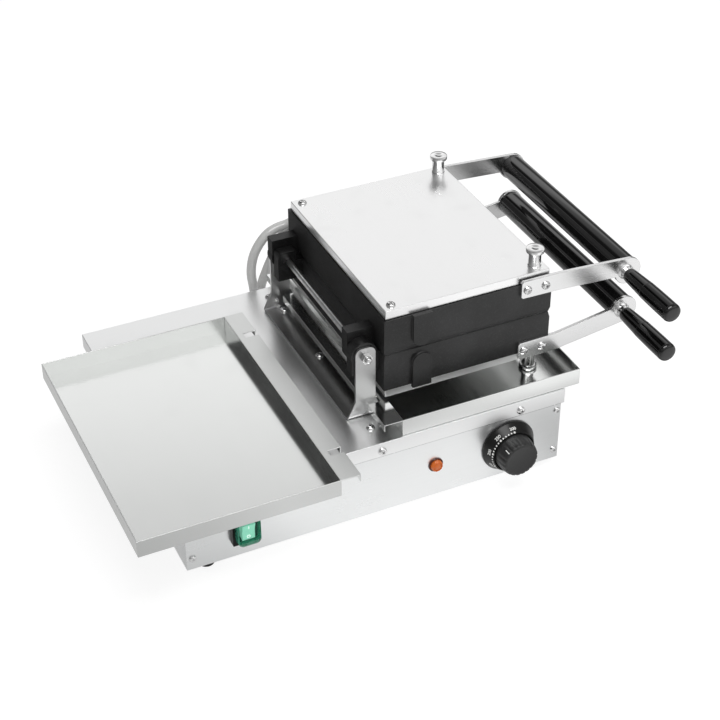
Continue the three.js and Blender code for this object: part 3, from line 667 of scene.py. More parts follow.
@dataclass(frozen=True)
class Bench:
    """Turns the machine's millimetres into the frame's metres, and makes, copies and places pieces."""

    corner: Vector
    flat_angle: float = 0.4
    sharp_angle: float = 28.0
    patterns: dict[Any, Piece] = field(default_factory=dict)

    def at(self, x: float, y: float, z: float) -> Vector:
        """A point of the machine, in the frame's metres."""
        return self.corner + Vector((x, y, z)) * MM

    @staticmethod
    def select(piece: Piece) -> None:
        """Selects one piece alone and makes it the active one.

        Args:
            piece: the piece.
        """
        bpy.ops.object.select_all(action="DESELECT")
        piece.select_set(True)
        bpy.context.view_layer.objects.active = piece

    def fresh(self, add: Callable[..., Any], name: str, **settings: Any) -> Piece:
        """Adds a primitive with nothing else selected.

        Args:
            add: the operator that adds it.
            name: the piece's name.
            **settings: the operator's settings.

        Returns:
            The piece.
        """
        bpy.ops.object.select_all(action="DESELECT")
        add(**settings)
        bpy.context.object.name = name
        return bpy.context.object

    @contextmanager
    def editing(self, piece: Piece, whole: bool = False) -> Iterator[bmesh.types.BMesh]:
        """Opens a piece in edit mode.

        Args:
            piece: the piece.
            whole: whether all of it is selected at first, or else nothing.

        Returns:
            Its edit mesh, for selecting by place or normal.
        """
        self.select(piece)
        bpy.ops.object.mode_set(mode="EDIT")
        bpy.ops.mesh.select_mode(type="VERT")
        bpy.ops.mesh.select_all(action="SELECT" if whole else "DESELECT")
        yield bmesh.from_edit_mesh(piece.data)
        bpy.ops.object.mode_set(mode="OBJECT")

    @staticmethod
    def pick(mesh: bmesh.types.BMesh, kind: Kind, test: Callable[[Any], bool]) -> None:
        """Selects what passes a test.

        Args:
            mesh: the edit mesh.
            kind: whether its faces, edges or points are tested.
            test: tells whether one of them is selected.
        """
        mode, row = kind.value
        bpy.ops.mesh.select_mode(type=mode)
        for item in getattr(mesh, row):
            item.select_set(test(item))
        mesh.select_flush_mode()

    def modify(self, piece: Piece, kind: str, **settings: Any) -> None:
        """Adds a modifier and applies it.

        Args:
            piece: the piece.
            kind: the modifier's type.
            **settings: the modifier's settings.
        """
        self.select(piece)
        added = piece.modifiers.new(kind.lower(), kind)
        for name, setting in settings.items():
            setattr(added, name, setting)
        bpy.ops.object.modifier_apply(modifier=added.name)

    def smoothed(self, piece: Piece, angle: float) -> Piece:
        """Shades a piece smooth, but for its sharp edges.

        Args:
            piece: the piece.
            angle: edges below this many degrees are shaded smooth.

        Returns:
            The piece.
        """
        self.select(piece)
        bpy.ops.object.shade_smooth_by_angle(angle=math.radians(angle))
        return piece

    def settle(self, piece: Piece, smooth: float = 40.0) -> Piece:
        """Puts a piece's place into its mesh, closes it and smooths its shading.

        Args:
            piece: the piece.
            smooth: edges below this many degrees are shaded smooth.

        Returns:
            The piece.
        """
        self.select(piece)
        bpy.ops.object.transform_apply(location=True, rotation=True, scale=True)
        with self.editing(piece, whole=True):
            bpy.ops.mesh.remove_doubles(threshold=MERGE)
            bpy.ops.mesh.normals_make_consistent(inside=False)
        return self.smoothed(piece, smooth)

    def turned(
        self, name: str, profile: Sequence[Pair], place: Matrix, sides: int = 48, smooth: float = 40.0
    ) -> Piece:
        """Turns a profile round an axis, once for each profile, and copies it to its place.

        Args:
            name: the piece's name.
            profile: radius and height of each point, in millimetres, from the axis to the axis.
            place: where the axis stands, in metres; the profile's height runs along its z.
            sides: steps of the turn.
            smooth: edges below this many degrees are shaded smooth.

        Returns:
            The turned piece.
        """
        source = self.pattern((tuple(profile), sides, smooth), lambda: self._spun(profile, sides, smooth))
        return self.copied(source, name, place)

    def _spun(self, profile: Sequence[Pair], sides: int, smooth: float) -> Piece:
        """Extrudes a point along a profile and spins it.

        Args:
            profile: radius and height of each point, in millimetres.
            sides: steps of the turn.
            smooth: edges below this many degrees are shaded smooth.

        Returns:
            The piece, turned round z at the origin.
        """
        piece = self.fresh(bpy.ops.mesh.primitive_plane_add, "turned_pattern", size=MM)
        points = [Vector((r * MM, 0.0, h * MM)) for r, h in profile]
        with self.editing(piece, whole=True):
            bpy.ops.mesh.merge(type="CENTER")
            bpy.ops.transform.translate(value=points[0])
            for first, second in zip(points, points[1:]):
                bpy.ops.mesh.extrude_vertices_move(TRANSFORM_OT_translate={"value": second - first})
            bpy.ops.mesh.select_all(action="SELECT")
            bpy.ops.mesh.spin(steps=sides, angle=math.tau, center=(0, 0, 0), axis=(0, 0, 1))
            bpy.ops.mesh.select_all(action="SELECT")
            bpy.ops.mesh.remove_doubles(threshold=MERGE)
        return self.settle(piece, smooth)

    def block(self, name: str, low: Point, high: Point) -> Piece:
        """A box between two corners in the machine's frame.

        Args:
            name: the piece's name.
            low: the lowest corner.
            high: the highest corner.

        Returns:
            The box.
        """
        middle = (Vector(low) + Vector(high)) / 2
        piece = self.fresh(bpy.ops.mesh.primitive_cube_add, name, size=1.0, location=self.at(*middle))
        piece.scale = (Vector(high) - Vector(low)) * MM
        return self.settle(piece)

    def pattern(self, key: Any, model: Callable[[], Piece]) -> Piece:
        """A piece at the origin that others are copied from.

        Args:
            key: what tells it from the other patterns.
            model: models it, the first time that it is asked for.

        Returns:
            The pattern.
        """
        if key not in self.patterns:
            self.patterns[key] = model()
        return self.patterns[key]

    def clear(self) -> None:
        """Removes the patterns once every piece is in place."""
        for pattern in self.patterns.values():
            bpy.data.objects.remove(pattern)

    def copied(self, source: Piece, name: str, place: Matrix) -> Piece:
        """A copy of a piece with its own mesh, set at a place.

        Args:
            source: the piece that is copied.
            name: the copy's name.
            place: where the copy goes, in metres.

        Returns:
            The copy.
        """
        piece = source.copy()
        piece.data = source.data.copy()
        piece.name = name
        bpy.context.scene.collection.objects.link(piece)
        piece.data.transform(place)
        piece.matrix_world = Matrix.Identity(4)
        return piece

    def joined(self, name: str, pieces: Sequence[Piece]) -> Piece:
        """Joins pieces of one finish and one body into one.

        Args:
            name: the joined piece's name.
            pieces: the pieces.

        Returns:
            The joined piece.
        """
        self.select(pieces[0])
        for piece in pieces:
            piece.select_set(True)
        bpy.ops.object.join()
        pieces[0].name = name
        return pieces[0]

    def wear(
        self, piece: Piece, finish: Finish, body: str, slot: Optional[str] = None, *replaces: str
    ) -> None:
        """Gives a piece its finish and its body, and hides the solids that it stands for.

        Args:
            piece: the piece.
            finish: its finish.
            body: the body that it moves with.
            slot: not used.
            *replaces: the solids that it stands for.
        """
        piece.data.materials.clear()
        piece.data.materials.append(finish.material())
        if replaces:
            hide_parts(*replaces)
        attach(piece, body)
        LOG.info("%s on %s: %d faces", piece.name, body, len(piece.data.polygons))

    def dressed(
        self, node: str, finish: Finish, body: str, slot: str, ease: float = 0.4, smooth: float = 40.0
    ) -> None:
        """A merged copy of a solid with eased edges, which stands for it.

        Args:
            node: the solid's name.
            finish: its finish.
            body: the body that it moves with.
            slot: the record's material slot.
            ease: the width of the eased edges in millimetres.
            smooth: edges below this many degrees are shaded smooth.
        """
        source = frame["nodes"][node]
        piece = source.copy()
        piece.data = source.data.copy()
        piece.name = f"{node}_dressed"
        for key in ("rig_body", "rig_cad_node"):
            del piece[key]
        piece.parent = None
        piece.matrix_world = Matrix.Identity(4)
        bpy.context.scene.collection.objects.link(piece)
        with self.editing(piece, whole=True):
            bpy.ops.mesh.remove_doubles(threshold=MERGE)
            bpy.ops.mesh.dissolve_limited(angle_limit=math.radians(self.flat_angle))
        if ease > 0:
            with self.editing(piece) as mesh:
                weight = mesh.edges.layers.float.new("bevel_weight_edge")
                for edge in mesh.edges:
                    sharp = edge.is_manifold and edge.calc_face_angle() > math.radians(self.sharp_angle)
                    edge[weight] = float(sharp and edge.is_convex)
            settings = {"use_clamp_overlap": True, "miter_outer": "MITER_ARC", "segments": 2}
            self.modify(piece, "BEVEL", width=ease * MM, limit_method="WEIGHT", **settings)
        self.smoothed(piece, smooth)
        self.modify(piece, "WEIGHTED_NORMAL", mode="FACE_AREA", weight=60, keep_sharp=True)
        self.wear(piece, finish, body, slot, node)


def standing(point: Vector, axis: Point) -> Matrix:
    """A place whose z runs along an axis.

    Args:
        point: the place's origin, in metres.
        axis: the direction of its z.

    Returns:
        The place.
    """
    turn = Vector((0, 0, 1)).rotation_difference(Vector(axis)).to_matrix().to_4x4()
    return Matrix.Translation(point) @ turn


def stepped(radius: float, height: float, steps: Pairs) -> list[Pair]:
    """Points that stand off a radius and a height by small steps."""
    return [(radius + out, height + up) for out, up in steps]


def bar_outline(radius: float, start: float, end: float, steps: Pairs) -> list[Pair]:
    """The outline of a bar with two ends alike.

    Args:
        radius: its radius.
        start: where it starts.
        end: where it ends.
        steps: how far each point of an end stands off the radius, and how far in from the end it lies.

    Returns:
        The outline.
    """
    far = [(radius + out, end - deep) for out, deep in reversed(steps)]
    return [(0.0, start), *stepped(radius, start, steps), *far, (0.0, end)]


# Fastenings


class Recess(Enum):
    """The drive in a screw's head."""

    CROSS = "cross"
    SOCKET = "socket"


@dataclass
class Screws:
    """Screw heads: each kind is modelled once and copied to its places."""

    bench: Bench
    head_radius: float = 4.9
    head_height: float = 3.0
    stem: float = 1.2
    stem_share: float = 0.5
    recess_depth: float = 1.9
    cutter_proud: float = 1.0
    cross_length: float = 5.0
    cross_width: float = 1.15
    cross_taper: float = 0.55
    socket_radius: float = 2.0
    head_shares: Pairs = (
        (0.96, 0.0), (1.0, 0.12), (0.97, 0.36), (0.86, 0.64), (0.66, 0.86), (0.36, 0.98), (0.0, 1.0),
    )

    def _head(self, kind: Recess) -> Piece:
        """Models one head.

        Args:
            kind: the drive in it.

        Returns:
            The head, at the origin, with its seat at z nought.
        """
        r, h = self.head_radius, self.head_height
        stem = r * self.stem_share
        profile = [(0.0, -self.stem), (stem, -self.stem), (stem, 0.0)]
        profile += [(r * across, h * up) for across, up in self.head_shares]
        head = self.bench.turned(f"head_{kind.value}", profile, Matrix.Identity(4), sides=28)
        for cutter in self._cutters(kind):
            self.bench.modify(head, "BOOLEAN", object=cutter, operation="DIFFERENCE", solver="EXACT")
            bpy.data.objects.remove(cutter)
        return self.bench.smoothed(head, angle=38.0)

    def _cutters(self, kind: Recess) -> list[Piece]:
        """The blocks that cut a drive.

        Args:
            kind: the drive.

        Returns:
            One six-sided block, or two flat ones that taper downwards.
        """
        depth = self.cutter_proud + self.recess_depth
        middle = (0.0, 0.0, (self.head_height + self.cutter_proud - depth / 2) * MM)
        if kind is Recess.SOCKET:
            size = {"radius": self.socket_radius * MM, "depth": depth * MM}
            add = bpy.ops.mesh.primitive_cylinder_add
            return [self.bench.fresh(add, "cutter", vertices=6, location=middle, **size)]
        made = []
        for size in ((self.cross_length, self.cross_width), (self.cross_width, self.cross_length)):
            cutter = self.bench.fresh(bpy.ops.mesh.primitive_cube_add, "cutter", size=MM, location=middle)
            cutter.scale = (*size, depth)
            bpy.ops.object.transform_apply(location=True, rotation=True, scale=True)
            with self.bench.editing(cutter) as mesh:
                self.bench.pick(mesh, Kind.FACES, lambda face: face.normal.z < -0.5)
                bpy.ops.transform.resize(value=(self.cross_taper, self.cross_taper, 1.0))
            made.append(cutter)
        return made

    def drive(
        self, name: str, kind: Recess, point: Vector, axis: Point, body: str, turn: float, size: float = 1.0
    ) -> None:
        """Sets one screw.

        Args:
            name: the screw's name.
            kind: the drive in its head.
            point: the point of the surface that it sits on, in metres.
            axis: the direction that its head points in.
            body: the body that it moves with.
            turn: how far its drive is turned, in degrees.
            size: its size as a share of the pattern's.
        """
        place = standing(point, axis) @ Matrix.Rotation(math.radians(turn), 4, "Z") @ Matrix.Scale(size, 4)
        piece = self.bench.copied(self.bench.pattern(kind, lambda: self._head(kind)), name, place)
        self.bench.wear(piece, FINISH.bright, body, "polished_steel")


# Sub-assemblies


@dataclass
class Base:
    """The sheet box, its lapped cover, its front panel, its feet and their screws."""

    bench: Bench
    screws: Screws
    width: float = 440.0
    depth: float = 321.0
    cover_top: float = 94.5
    cover_proud: float = 2.5
    foot_radius: float = 10.5
    foot_height: float = 12.0
    foot_inset: Pair = (27.0, 18.0)
    foot_seat: float = 0.4
    foot_seat_share: float = 0.80
    foot_shares: Pairs = (
        (0.92, 0.0), (0.98, 0.10), (0.94, 0.22), (1.0, 0.34), (0.90, 0.90), (0.84, 1.0), (0.40, 1.0),
        (0.36, 0.82), (0.0, 0.82),
    )
    flange_screw_height: float = 83.5
    flange_screws: tuple[float, ...] = (52.4, 222.0, 387.6)
    flange_turns: Pairs = ((20.0, 31.0), (0.0, 50.0))
    panel_screws: Pairs = ((435.0, 66.5), (434.2, 12.0), (6.7, 14.3), (6.0, 66.5))
    panel_screw_size: float = 0.84
    panel_turn: float = 17.0
    top_screws: Pairs = ((221.5, 26.5), (220.5, 303.0))
    top_turns: Pair = (25.0, 40.0)

    def build(self) -> None:
        """Builds and dresses every piece of the base."""
        self.bench.dressed("base_housing", FINISH.panel, "base", "sheet_steel", ease=0.35)
        self.bench.dressed("base_cover", FINISH.cover, "base", "sheet_steel", ease=0.6)
        self.bench.dressed("front_panel", FINISH.front, "base", "sheet_steel", ease=0.3)
        self._feet()
        self._screws()

    def _feet(self) -> None:
        """Turns the four rubber feet, each with a groove and a sunk screw hole in its sole."""
        r, h = self.foot_radius, self.foot_height
        profile = [(0.0, -self.foot_seat), (r * self.foot_seat_share, -self.foot_seat)]
        profile += [(r * out, -h * down) for out, down in self.foot_shares]
        across, back = self.foot_inset
        for depth_name, y in (("front", back), ("back", self.depth - back)):
            for side_name, x in (("left", across), ("right", self.width - across)):
                place = Matrix.Translation(self.bench.at(x, y, 0.0))
                foot = self.bench.turned(f"rubber_foot_{depth_name}_{side_name}", profile, place)
                node = f"foot_{depth_name}_{side_name}"
                self.bench.wear(foot, FINISH.rubber, "base", "rubber", node)

    def _screws(self) -> None:
        """Sets the screws of the cover's flange, its top and the panel."""
        ends = (("front", -self.cover_proud, -1), ("back", self.depth + self.cover_proud, 1))
        for i, x in enumerate(self.flange_screws):
            for (end, y, out), (start, step) in zip(ends, self.flange_turns):
                point, turn = self.bench.at(x, y, self.flange_screw_height), start + step * i
                self.screws.drive(f"flange_screw_{end}_{i}", Recess.CROSS, point, (0, out, 0), "base", turn)
        for i, (x, z) in enumerate(self.panel_screws):
            point, turn = self.bench.at(x, 0.0, z), self.panel_turn * i
            size = self.panel_screw_size
            self.screws.drive(f"panel_screw_{i}", Recess.SOCKET, point, (0, -1, 0), "base", turn, size)
        for i, (x, y) in enumerate(self.top_screws):
            point, turn = self.bench.at(x, y, self.cover_top), self.top_turns[0] + self.top_turns[1] * i
            self.screws.drive(f"cover_screw_{i}", Recess.CROSS, point, (0, 0, 1), "base", turn)


@dataclass
class Dial:
    """The thermostat's body, its scale ring with dots and numbers, and its fluted knob."""

    bench: Bench
    centre: Pair = (375.0, 38.7)
    radius: float = 31.6
    edge: float = 2.5
    top_radius: float = 25.4
    height: float = 14.0
    bore: float = 23.8
    rim_steps: Pairs = ((-0.4, 0.0), (0.0, 0.4))
    edge_steps: Pairs = ((0.0, -0.5), (-0.75, 0.6), (-1.25, 1.25))
    top_steps: Pairs = ((0.35, -0.6), (-0.1, 0.0))
    bore_steps: Pairs = ((0.3, 0.0), (0.0, -0.4))
    knob_gap: float = 0.6
    knob_radius: float = 23.0
    face_radius: float = 20.6
    reach: float = 31.0
    skirt: float = 13.0
    foot_steps: Pairs = ((-0.5, 0.0), (0.0, 0.5))
    skirt_steps: Pairs = ((0.0, 0.0), (-0.5, 1.6))
    face_steps: Pairs = (
        (1.2, -7.5), (0.5, -3.6), (0.0, -1.6), (-0.7, -0.5), (-1.9, 0.0), (-4.2, -0.2), (-5.2, -0.7),
    )
    face_sink: float = 0.9
    flutes: int = 20
    flute_depth: float = 0.72
    flute_steps: int = 6
    flute_width: int = 2
    flute_margin: float = 3.0
    lowest: float = 330.0
    step: float = 8.0
    dots: int = 31
    dots_a_number: int = 5
    degrees_a_dot: int = 10
    dot_radii: Pair = (1.20, 0.86)
    dot_depth: float = 0.16
    dot_share: float = 0.10
    dot_proud: float = 0.02
    number_size: float = 5.0
    number_weight: float = 0.08
    number_depth: float = 0.05
    number_share: float = 0.50
    number_proud: float = 0.04
    pointer: float = 138.0
    pointer_foot: Pair = (-1.3, -7.0)
    pointer_tip: Pair = (0.25, -0.9)
    pointer_width: float = 1.1
    pointer_ease: float = 0.25
    smooth: float = 45.0

    def build(self) -> None:
        """Builds and dresses every piece of the dial."""
        self.bench.dressed("thermostat", FINISH.gland, "base", "black_plastic", ease=0.5)
        self._ring()
        self._knob()
        self._dots()
        self._numbers()
        self._pointer()

    def _panel(self) -> Matrix:
        """The dial's axis, which points out of the panel."""
        return standing(self.bench.at(self.centre[0], 0.0, self.centre[1]), (0, -1, 0))

    def _around(self, angle: float, radius: float, out: float) -> Vector:
        """A point round the dial.

        Args:
            angle: degrees, from the right and against the clock as seen from the front.
            radius: distance from the axis.
            out: distance in front of the panel.

        Returns:
            The point, in metres.
        """
        turn = math.radians(angle)
        x = self.centre[0] + radius * math.cos(turn)
        return self.bench.at(x, -out, self.centre[1] + radius * math.sin(turn))

    def _slope(self, angle: float, share: float, proud: float) -> Matrix:
        """A place on the ring's sloping face.

        Args:
            angle: degrees round the dial.
            share: nought at the slope's front edge, one at its foot.
            proud: how far the place stands off the face.

        Returns:
            The place: x runs with the clock, y towards the foot, z off the face.
        """
        foot_radius, foot_out = self.radius - self.edge / 2, self.edge * 1.5
        radius = self.top_radius + (foot_radius - self.top_radius) * share
        out = self.height + (foot_out - self.height) * share
        turn = math.radians(angle)
        outward = Vector((math.cos(turn), 0.0, math.sin(turn)))
        front = Vector((0.0, -1.0, 0.0))
        down = (outward * (foot_radius - self.top_radius) + front * (foot_out - self.height)).normalized()
        off = (outward * (self.height - foot_out) + front * (foot_radius - self.top_radius)).normalized()
        across = down.cross(off).normalized()
        turned = Matrix((across, down, off)).transposed().to_4x4()
        return Matrix.Translation(self._around(angle, radius, out) + off * proud * MM) @ turned

    def _ring(self) -> None:
        """Turns the scale ring."""
        profile = [
            (self.bore, 0.0),
            *stepped(self.radius, 0.0, self.rim_steps),
            *stepped(self.radius, self.edge, self.edge_steps),
            *stepped(self.top_radius, self.height, self.top_steps),
            *stepped(self.bore, self.height, self.bore_steps),
            (self.bore, 0.0),
        ]
        ring = self.bench.turned("scale_ring", profile, self._panel(), sides=96, smooth=50.0)
        self.bench.wear(ring, FINISH.ring, "base", "black_plastic", "dial_ring")

    def _knob(self) -> None:
        """Turns the knob and presses the flutes into its front edge."""
        profile = [
            (0.0, self.knob_gap),
            *stepped(self.knob_radius, self.knob_gap, self.foot_steps),
            *stepped(self.knob_radius, self.skirt, self.skirt_steps),
            *stepped(self.face_radius, self.reach, self.face_steps),
            (0.0, self.reach - self.face_sink),
        ]
        sides = self.flutes * self.flute_steps
        place = self._panel()
        knob = self.bench.turned("fluted_knob", profile, place, sides, self.smooth)
        back = place.inverted()

        def fluted(vertex: bmesh.types.BMVert) -> bool:
            """Whether a vertex lies at the bottom of a flute.

            Args:
                vertex: a vertex of the turned knob.

            Returns:
                True where it is pressed in.
            """
            local = back @ vertex.co
            radius = math.hypot(local.x, local.y) / MM
            step = round(math.atan2(local.y, local.x) / math.tau * sides) % self.flute_steps
            above = local.z / MM > self.skirt + self.flute_margin
            return step < self.flute_width and above and radius > self.face_radius - self.flute_margin

        with self.bench.editing(knob) as mesh:
            self.bench.pick(mesh, Kind.POINTS, fluted)
            share = 1.0 - self.flute_depth / self.face_radius
            bpy.ops.transform.resize(value=(share, 1.0, share), center_override=place.translation)
        self.bench.smoothed(knob, self.smooth)
        self.bench.wear(knob, FINISH.knob, "knob", "black_plastic", "thermostat_knob")

    def _dots(self) -> None:
        """Sets the scale's dots, a larger one at every fifth."""
        made = []
        for i in range(self.dots):
            radius = self.dot_radii[0 if i % self.dots_a_number == 0 else 1]
            source = self.bench.pattern(("dot", radius), lambda: self._dot(radius))
            place = self._slope(self.lowest - self.step * i, self.dot_share, self.dot_proud)
            made.append(self.bench.copied(source, "scale_dot", place))
        self.bench.wear(self.bench.joined("scale_dots", made), FINISH.mark, "base")

    def _dot(self, radius: float) -> Piece:
        """Models one dot.

        Args:
            radius: its radius.

        Returns:
            The dot, at the origin.
        """
        size = {"radius": radius * MM, "depth": self.dot_depth * MM}
        add = bpy.ops.mesh.primitive_cylinder_add
        return self.bench.settle(self.bench.fresh(add, "dot_pattern", vertices=14, **size))

    def _numbers(self) -> None:
        """Sets the scale's numbers."""
        made = []
        for i in range(0, self.dots, self.dots_a_number):
            text = self.bench.fresh(bpy.ops.object.text_add, "scale_number").data
            text.body = str(i * self.degrees_a_dot)
            text.size, text.offset = self.number_size * MM, self.number_weight * MM
            text.align_x = text.align_y = "CENTER"
            text.extrude, text.resolution_u = self.number_depth * MM, 3
            bpy.ops.object.convert(target="MESH")
            number = bpy.context.object
            number.matrix_world = self._slope(
                self.lowest - self.step * i, self.number_share, self.number_proud
            )
            made.append(self.bench.settle(number, smooth=30.0))
        self.bench.wear(self.bench.joined("scale_numbers", made), FINISH.mark, "base")

    def _pointer(self) -> None:
        """Sets the light line on the knob's side."""
        foot, tip = self.pointer_foot, self.pointer_tip
        near = self._around(self.pointer, self.knob_radius + foot[0], self.reach + foot[1])
        far = self._around(self.pointer, self.face_radius + tip[0], self.reach + tip[1])
        width = self.pointer_width * MM
        line = self.bench.fresh(bpy.ops.mesh.primitive_cube_add, "knob_pointer", size=1.0)
        with self.bench.editing(line, whole=True):
            bpy.ops.transform.resize(value=(width, width, (far - near).length))
            bpy.ops.mesh.bevel(offset=self.pointer_ease * MM, segments=2, affect="EDGES")
        turn = Matrix.Rotation(math.radians(self.pointer), 4, "Z")
        line.matrix_world = standing((near + far) / 2, far - near) @ turn
        self.bench.wear(self.bench.settle(line), FINISH.mark, "knob")


@dataclass
class Lamp:
    """The amber pilot lamp: a ring, a ribbed lens and the body behind the panel."""

    bench: Bench
    centre: Pair = (286.5, 41.5)
    radius: float = 8.6
    dome: float = 6.0
    body_radius: float = 6.0
    body_length: float = 24.0
    ring_steps: Pairs = ((-0.2, 0.0), (0.0, 0.4), (-0.2, 1.3), (-0.8, 1.7), (-1.4, 1.5), (-1.6, 0.9))
    ring_face: float = 0.9
    lens_inset: float = 1.7
    lens_foot: float = 1.0
    lens_shares: Pairs = (
        (1.0, 0.62), (0.94, 0.80), (0.84, 0.92), (0.76, 0.94), (0.70, 0.80), (0.62, 0.80), (0.52, 0.93),
        (0.28, 1.0),
    )
    rib_angle: float = 7.5
    rib_steps: int = 4
    groove_steps: int = 2
    rib_start_share: float = 0.66
    rib_share: float = 0.955

    def build(self) -> None:
        """Builds and dresses the lamp."""
        place = standing(self.bench.at(self.centre[0], 0.0, self.centre[1]), (0, -1, 0))
        ring_profile = [
            (0.0, -self.body_length),
            (self.body_radius, -self.body_length),
            (self.body_radius, 0.0),
            *stepped(self.radius, 0.0, self.ring_steps),
            (0.0, self.ring_face),
        ]
        ring = self.bench.turned("lamp_ring", ring_profile, place)
        self.bench.wear(ring, FINISH.lens_ring, "base", "amber_lens")
        lens_radius = self.radius - self.lens_inset
        lens_profile = [
            (0.0, self.lens_foot),
            (lens_radius, self.lens_foot),
            *((lens_radius * out, self.dome * up) for out, up in self.lens_shares),
            (0.0, self.dome),
        ]
        lens = self.bench.turned("lamp_lens", lens_profile, place)
        centre = place.translation

        def ribbed(vertex: bmesh.types.BMVert) -> bool:
            """Whether a vertex lies in a groove between two ribs of the lens.

            Args:
                vertex: a vertex of the turned lens.

            Returns:
                True where it is pressed in.
            """
            away = vertex.co - centre
            step = round(math.degrees(math.atan2(away.z, away.x)) / self.rib_angle)
            inner = lens_radius * self.rib_start_share * MM
            return step % self.rib_steps < self.groove_steps and math.hypot(away.x, away.z) > inner

        with self.bench.editing(lens) as mesh:
            self.bench.pick(mesh, Kind.POINTS, ribbed)
            bpy.ops.transform.resize(value=(self.rib_share, 1.0, self.rib_share), center_override=centre)
        self.bench.wear(lens, FINISH.lens, "base", "amber_lens", "pilot_lamp")


@dataclass
class Switch:
    """The rocker switch: its black bezel, the lit rocker with its marks and the clear splash cap."""

    bench: Bench
    centre: Pair = (64.9, 40.0)
    bezel_depth: float = 7.5
    cap_size: Pair = (25.5, 33.0)
    cap_rise: float = 10.0
    cap_corner: float = 6.0
    cap_ease: float = 2.6
    cap_wall: float = 0.9
    rocker_front: float = 6.4
    pivot_depth: float = 5.5
    tilt: float = 7.0
    mark_away: float = 6.6
    mark_sink: float = 0.9
    bar_size: Triple = (0.8, 0.5, 4.2)
    bar_ease: float = 0.12
    ring_radii: Pair = (1.7, 0.38)

    def build(self) -> None:
        """Builds and dresses the switch."""
        self.bench.dressed("switch_frame", FINISH.switch, "base", "black_plastic", ease=0.45)
        self.bench.dressed("switch_rocker", FINISH.rocker, "rocker", "green_rocker", ease=1.5)
        self._cap()
        self._marks()

    def _cap(self) -> None:
        """Models the splash cap: a rounded block, opened at the back and given a thin wall."""
        x, z = self.centre
        width, height = self.cap_size
        low = (x - width / 2, -self.bezel_depth - self.cap_rise, z - height / 2)
        high = (x + width / 2, -self.bezel_depth, z + height / 2)
        cap = self.bench.block("splash_cap_skin", low, high)
        with self.bench.editing(cap) as mesh:
            self.bench.pick(
                mesh, Kind.EDGES, lambda edge: abs((edge.verts[0].co - edge.verts[1].co).y) > MM
            )
            bpy.ops.mesh.bevel(offset=self.cap_corner * MM, segments=8, affect="EDGES")
            bpy.ops.mesh.select_all(action="DESELECT")
            front = min(vertex.co.y for vertex in mesh.verts)
            self.bench.pick(
                mesh,
                Kind.EDGES,
                lambda edge: all(abs(vertex.co.y - front) < 0.01 * MM for vertex in edge.verts),
            )
            bpy.ops.mesh.bevel(offset=self.cap_ease * MM, segments=5, affect="EDGES")
            self.bench.pick(mesh, Kind.FACES, lambda face: face.normal.y > 0.9)
            bpy.ops.mesh.delete(type="FACE")
        self.bench.modify(cap, "SOLIDIFY", thickness=self.cap_wall * MM, offset=-1.0)
        self.bench.smoothed(cap, angle=45.0)
        self.bench.wear(cap, FINISH.cap, "base", "green_cap", "switch_cap")

    def _marks(self) -> None:
        """Sets the bar and the ring on the rocker."""
        x, z = self.centre
        pivot = self.bench.at(x, -self.pivot_depth, z)
        lean = Matrix.Translation(pivot) @ Matrix.Rotation(math.radians(self.tilt), 4, "X")
        upper, lower = (
            lean @ Matrix.Translation(Vector((0, -self.rocker_front - self.mark_sink, away)) * MM)
            for away in (self.mark_away, -self.mark_away)
        )
        bar = self.bench.fresh(bpy.ops.mesh.primitive_cube_add, "rocker_bar_mark", size=MM)
        bar.matrix_world = upper @ Matrix.Diagonal((*self.bar_size, 1.0))
        self.bench.settle(bar)
        with self.bench.editing(bar, whole=True):
            bpy.ops.mesh.bevel(offset=self.bar_ease * MM, segments=2, affect="EDGES")
        major, minor = (radius * MM for radius in self.ring_radii)
        ring = self.bench.fresh(
            bpy.ops.mesh.primitive_torus_add,
            "rocker_ring_mark",
            major_radius=major,
            minor_radius=minor,
            major_segments=28,
            minor_segments=8,
        )
        ring.matrix_world = lower @ Matrix.Rotation(math.pi / 2, 4, "X")
        marks = self.bench.joined("rocker_marks", [bar, self.bench.settle(ring)])
        self.bench.wear(marks, FINISH.lit_mark, "rocker")


@dataclass
class Hinge:
    """The bent bracket, the axle rod with its nuts and the row of screws in the bracket."""

    bench: Bench
    screws: Screws
    axle: Triple = AXLE
    rod_radius: float = 3.5
    rod_ends: Pair = (36.0, 289.0)
    rod_steps: Pairs = ((-1.33, 0.0), (-0.35, 0.5), (0.0, 1.3))
    bracket_top: float = 97.5
    screw_x: float = 224.0
    screw_y: tuple[float, ...] = (64.0, 165.0, 266.0)
    screw_turns: Pair = (12.0, 30.0)

    def build(self) -> None:
        """Builds and dresses the hinge."""
        self.bench.dressed("hinge_bracket", FINISH.bracket, "base", "sheet_steel", ease=0.35)
        front, back = self.rod_ends
        profile = bar_outline(self.rod_radius, 0.0, back - front, self.rod_steps)
        place = standing(self.bench.at(self.axle[0], front, self.axle[2]), (0, 1, 0))
        rod = self.bench.turned("axle", profile, place, sides=40)
        self.bench.wear(rod, FINISH.rod, "base", "polished_steel", "axle_rod")
        for end in ("front", "back"):
            self.bench.dressed(f"axle_nut_{end}", FINISH.bright, "base", "polished_steel", ease=0.45)
        for i, y in enumerate(self.screw_y):
            point = self.bench.at(self.screw_x, y, self.bracket_top)
            turn = self.screw_turns[0] + self.screw_turns[1] * i
            self.screws.drive(f"bracket_screw_{i}", Recess.CROSS, point, (0, 0, 1), "base", turn)


class Half(Enum):
    """The two halves of the iron."""

    UPPER = "upper"
    LOWER = "lower"


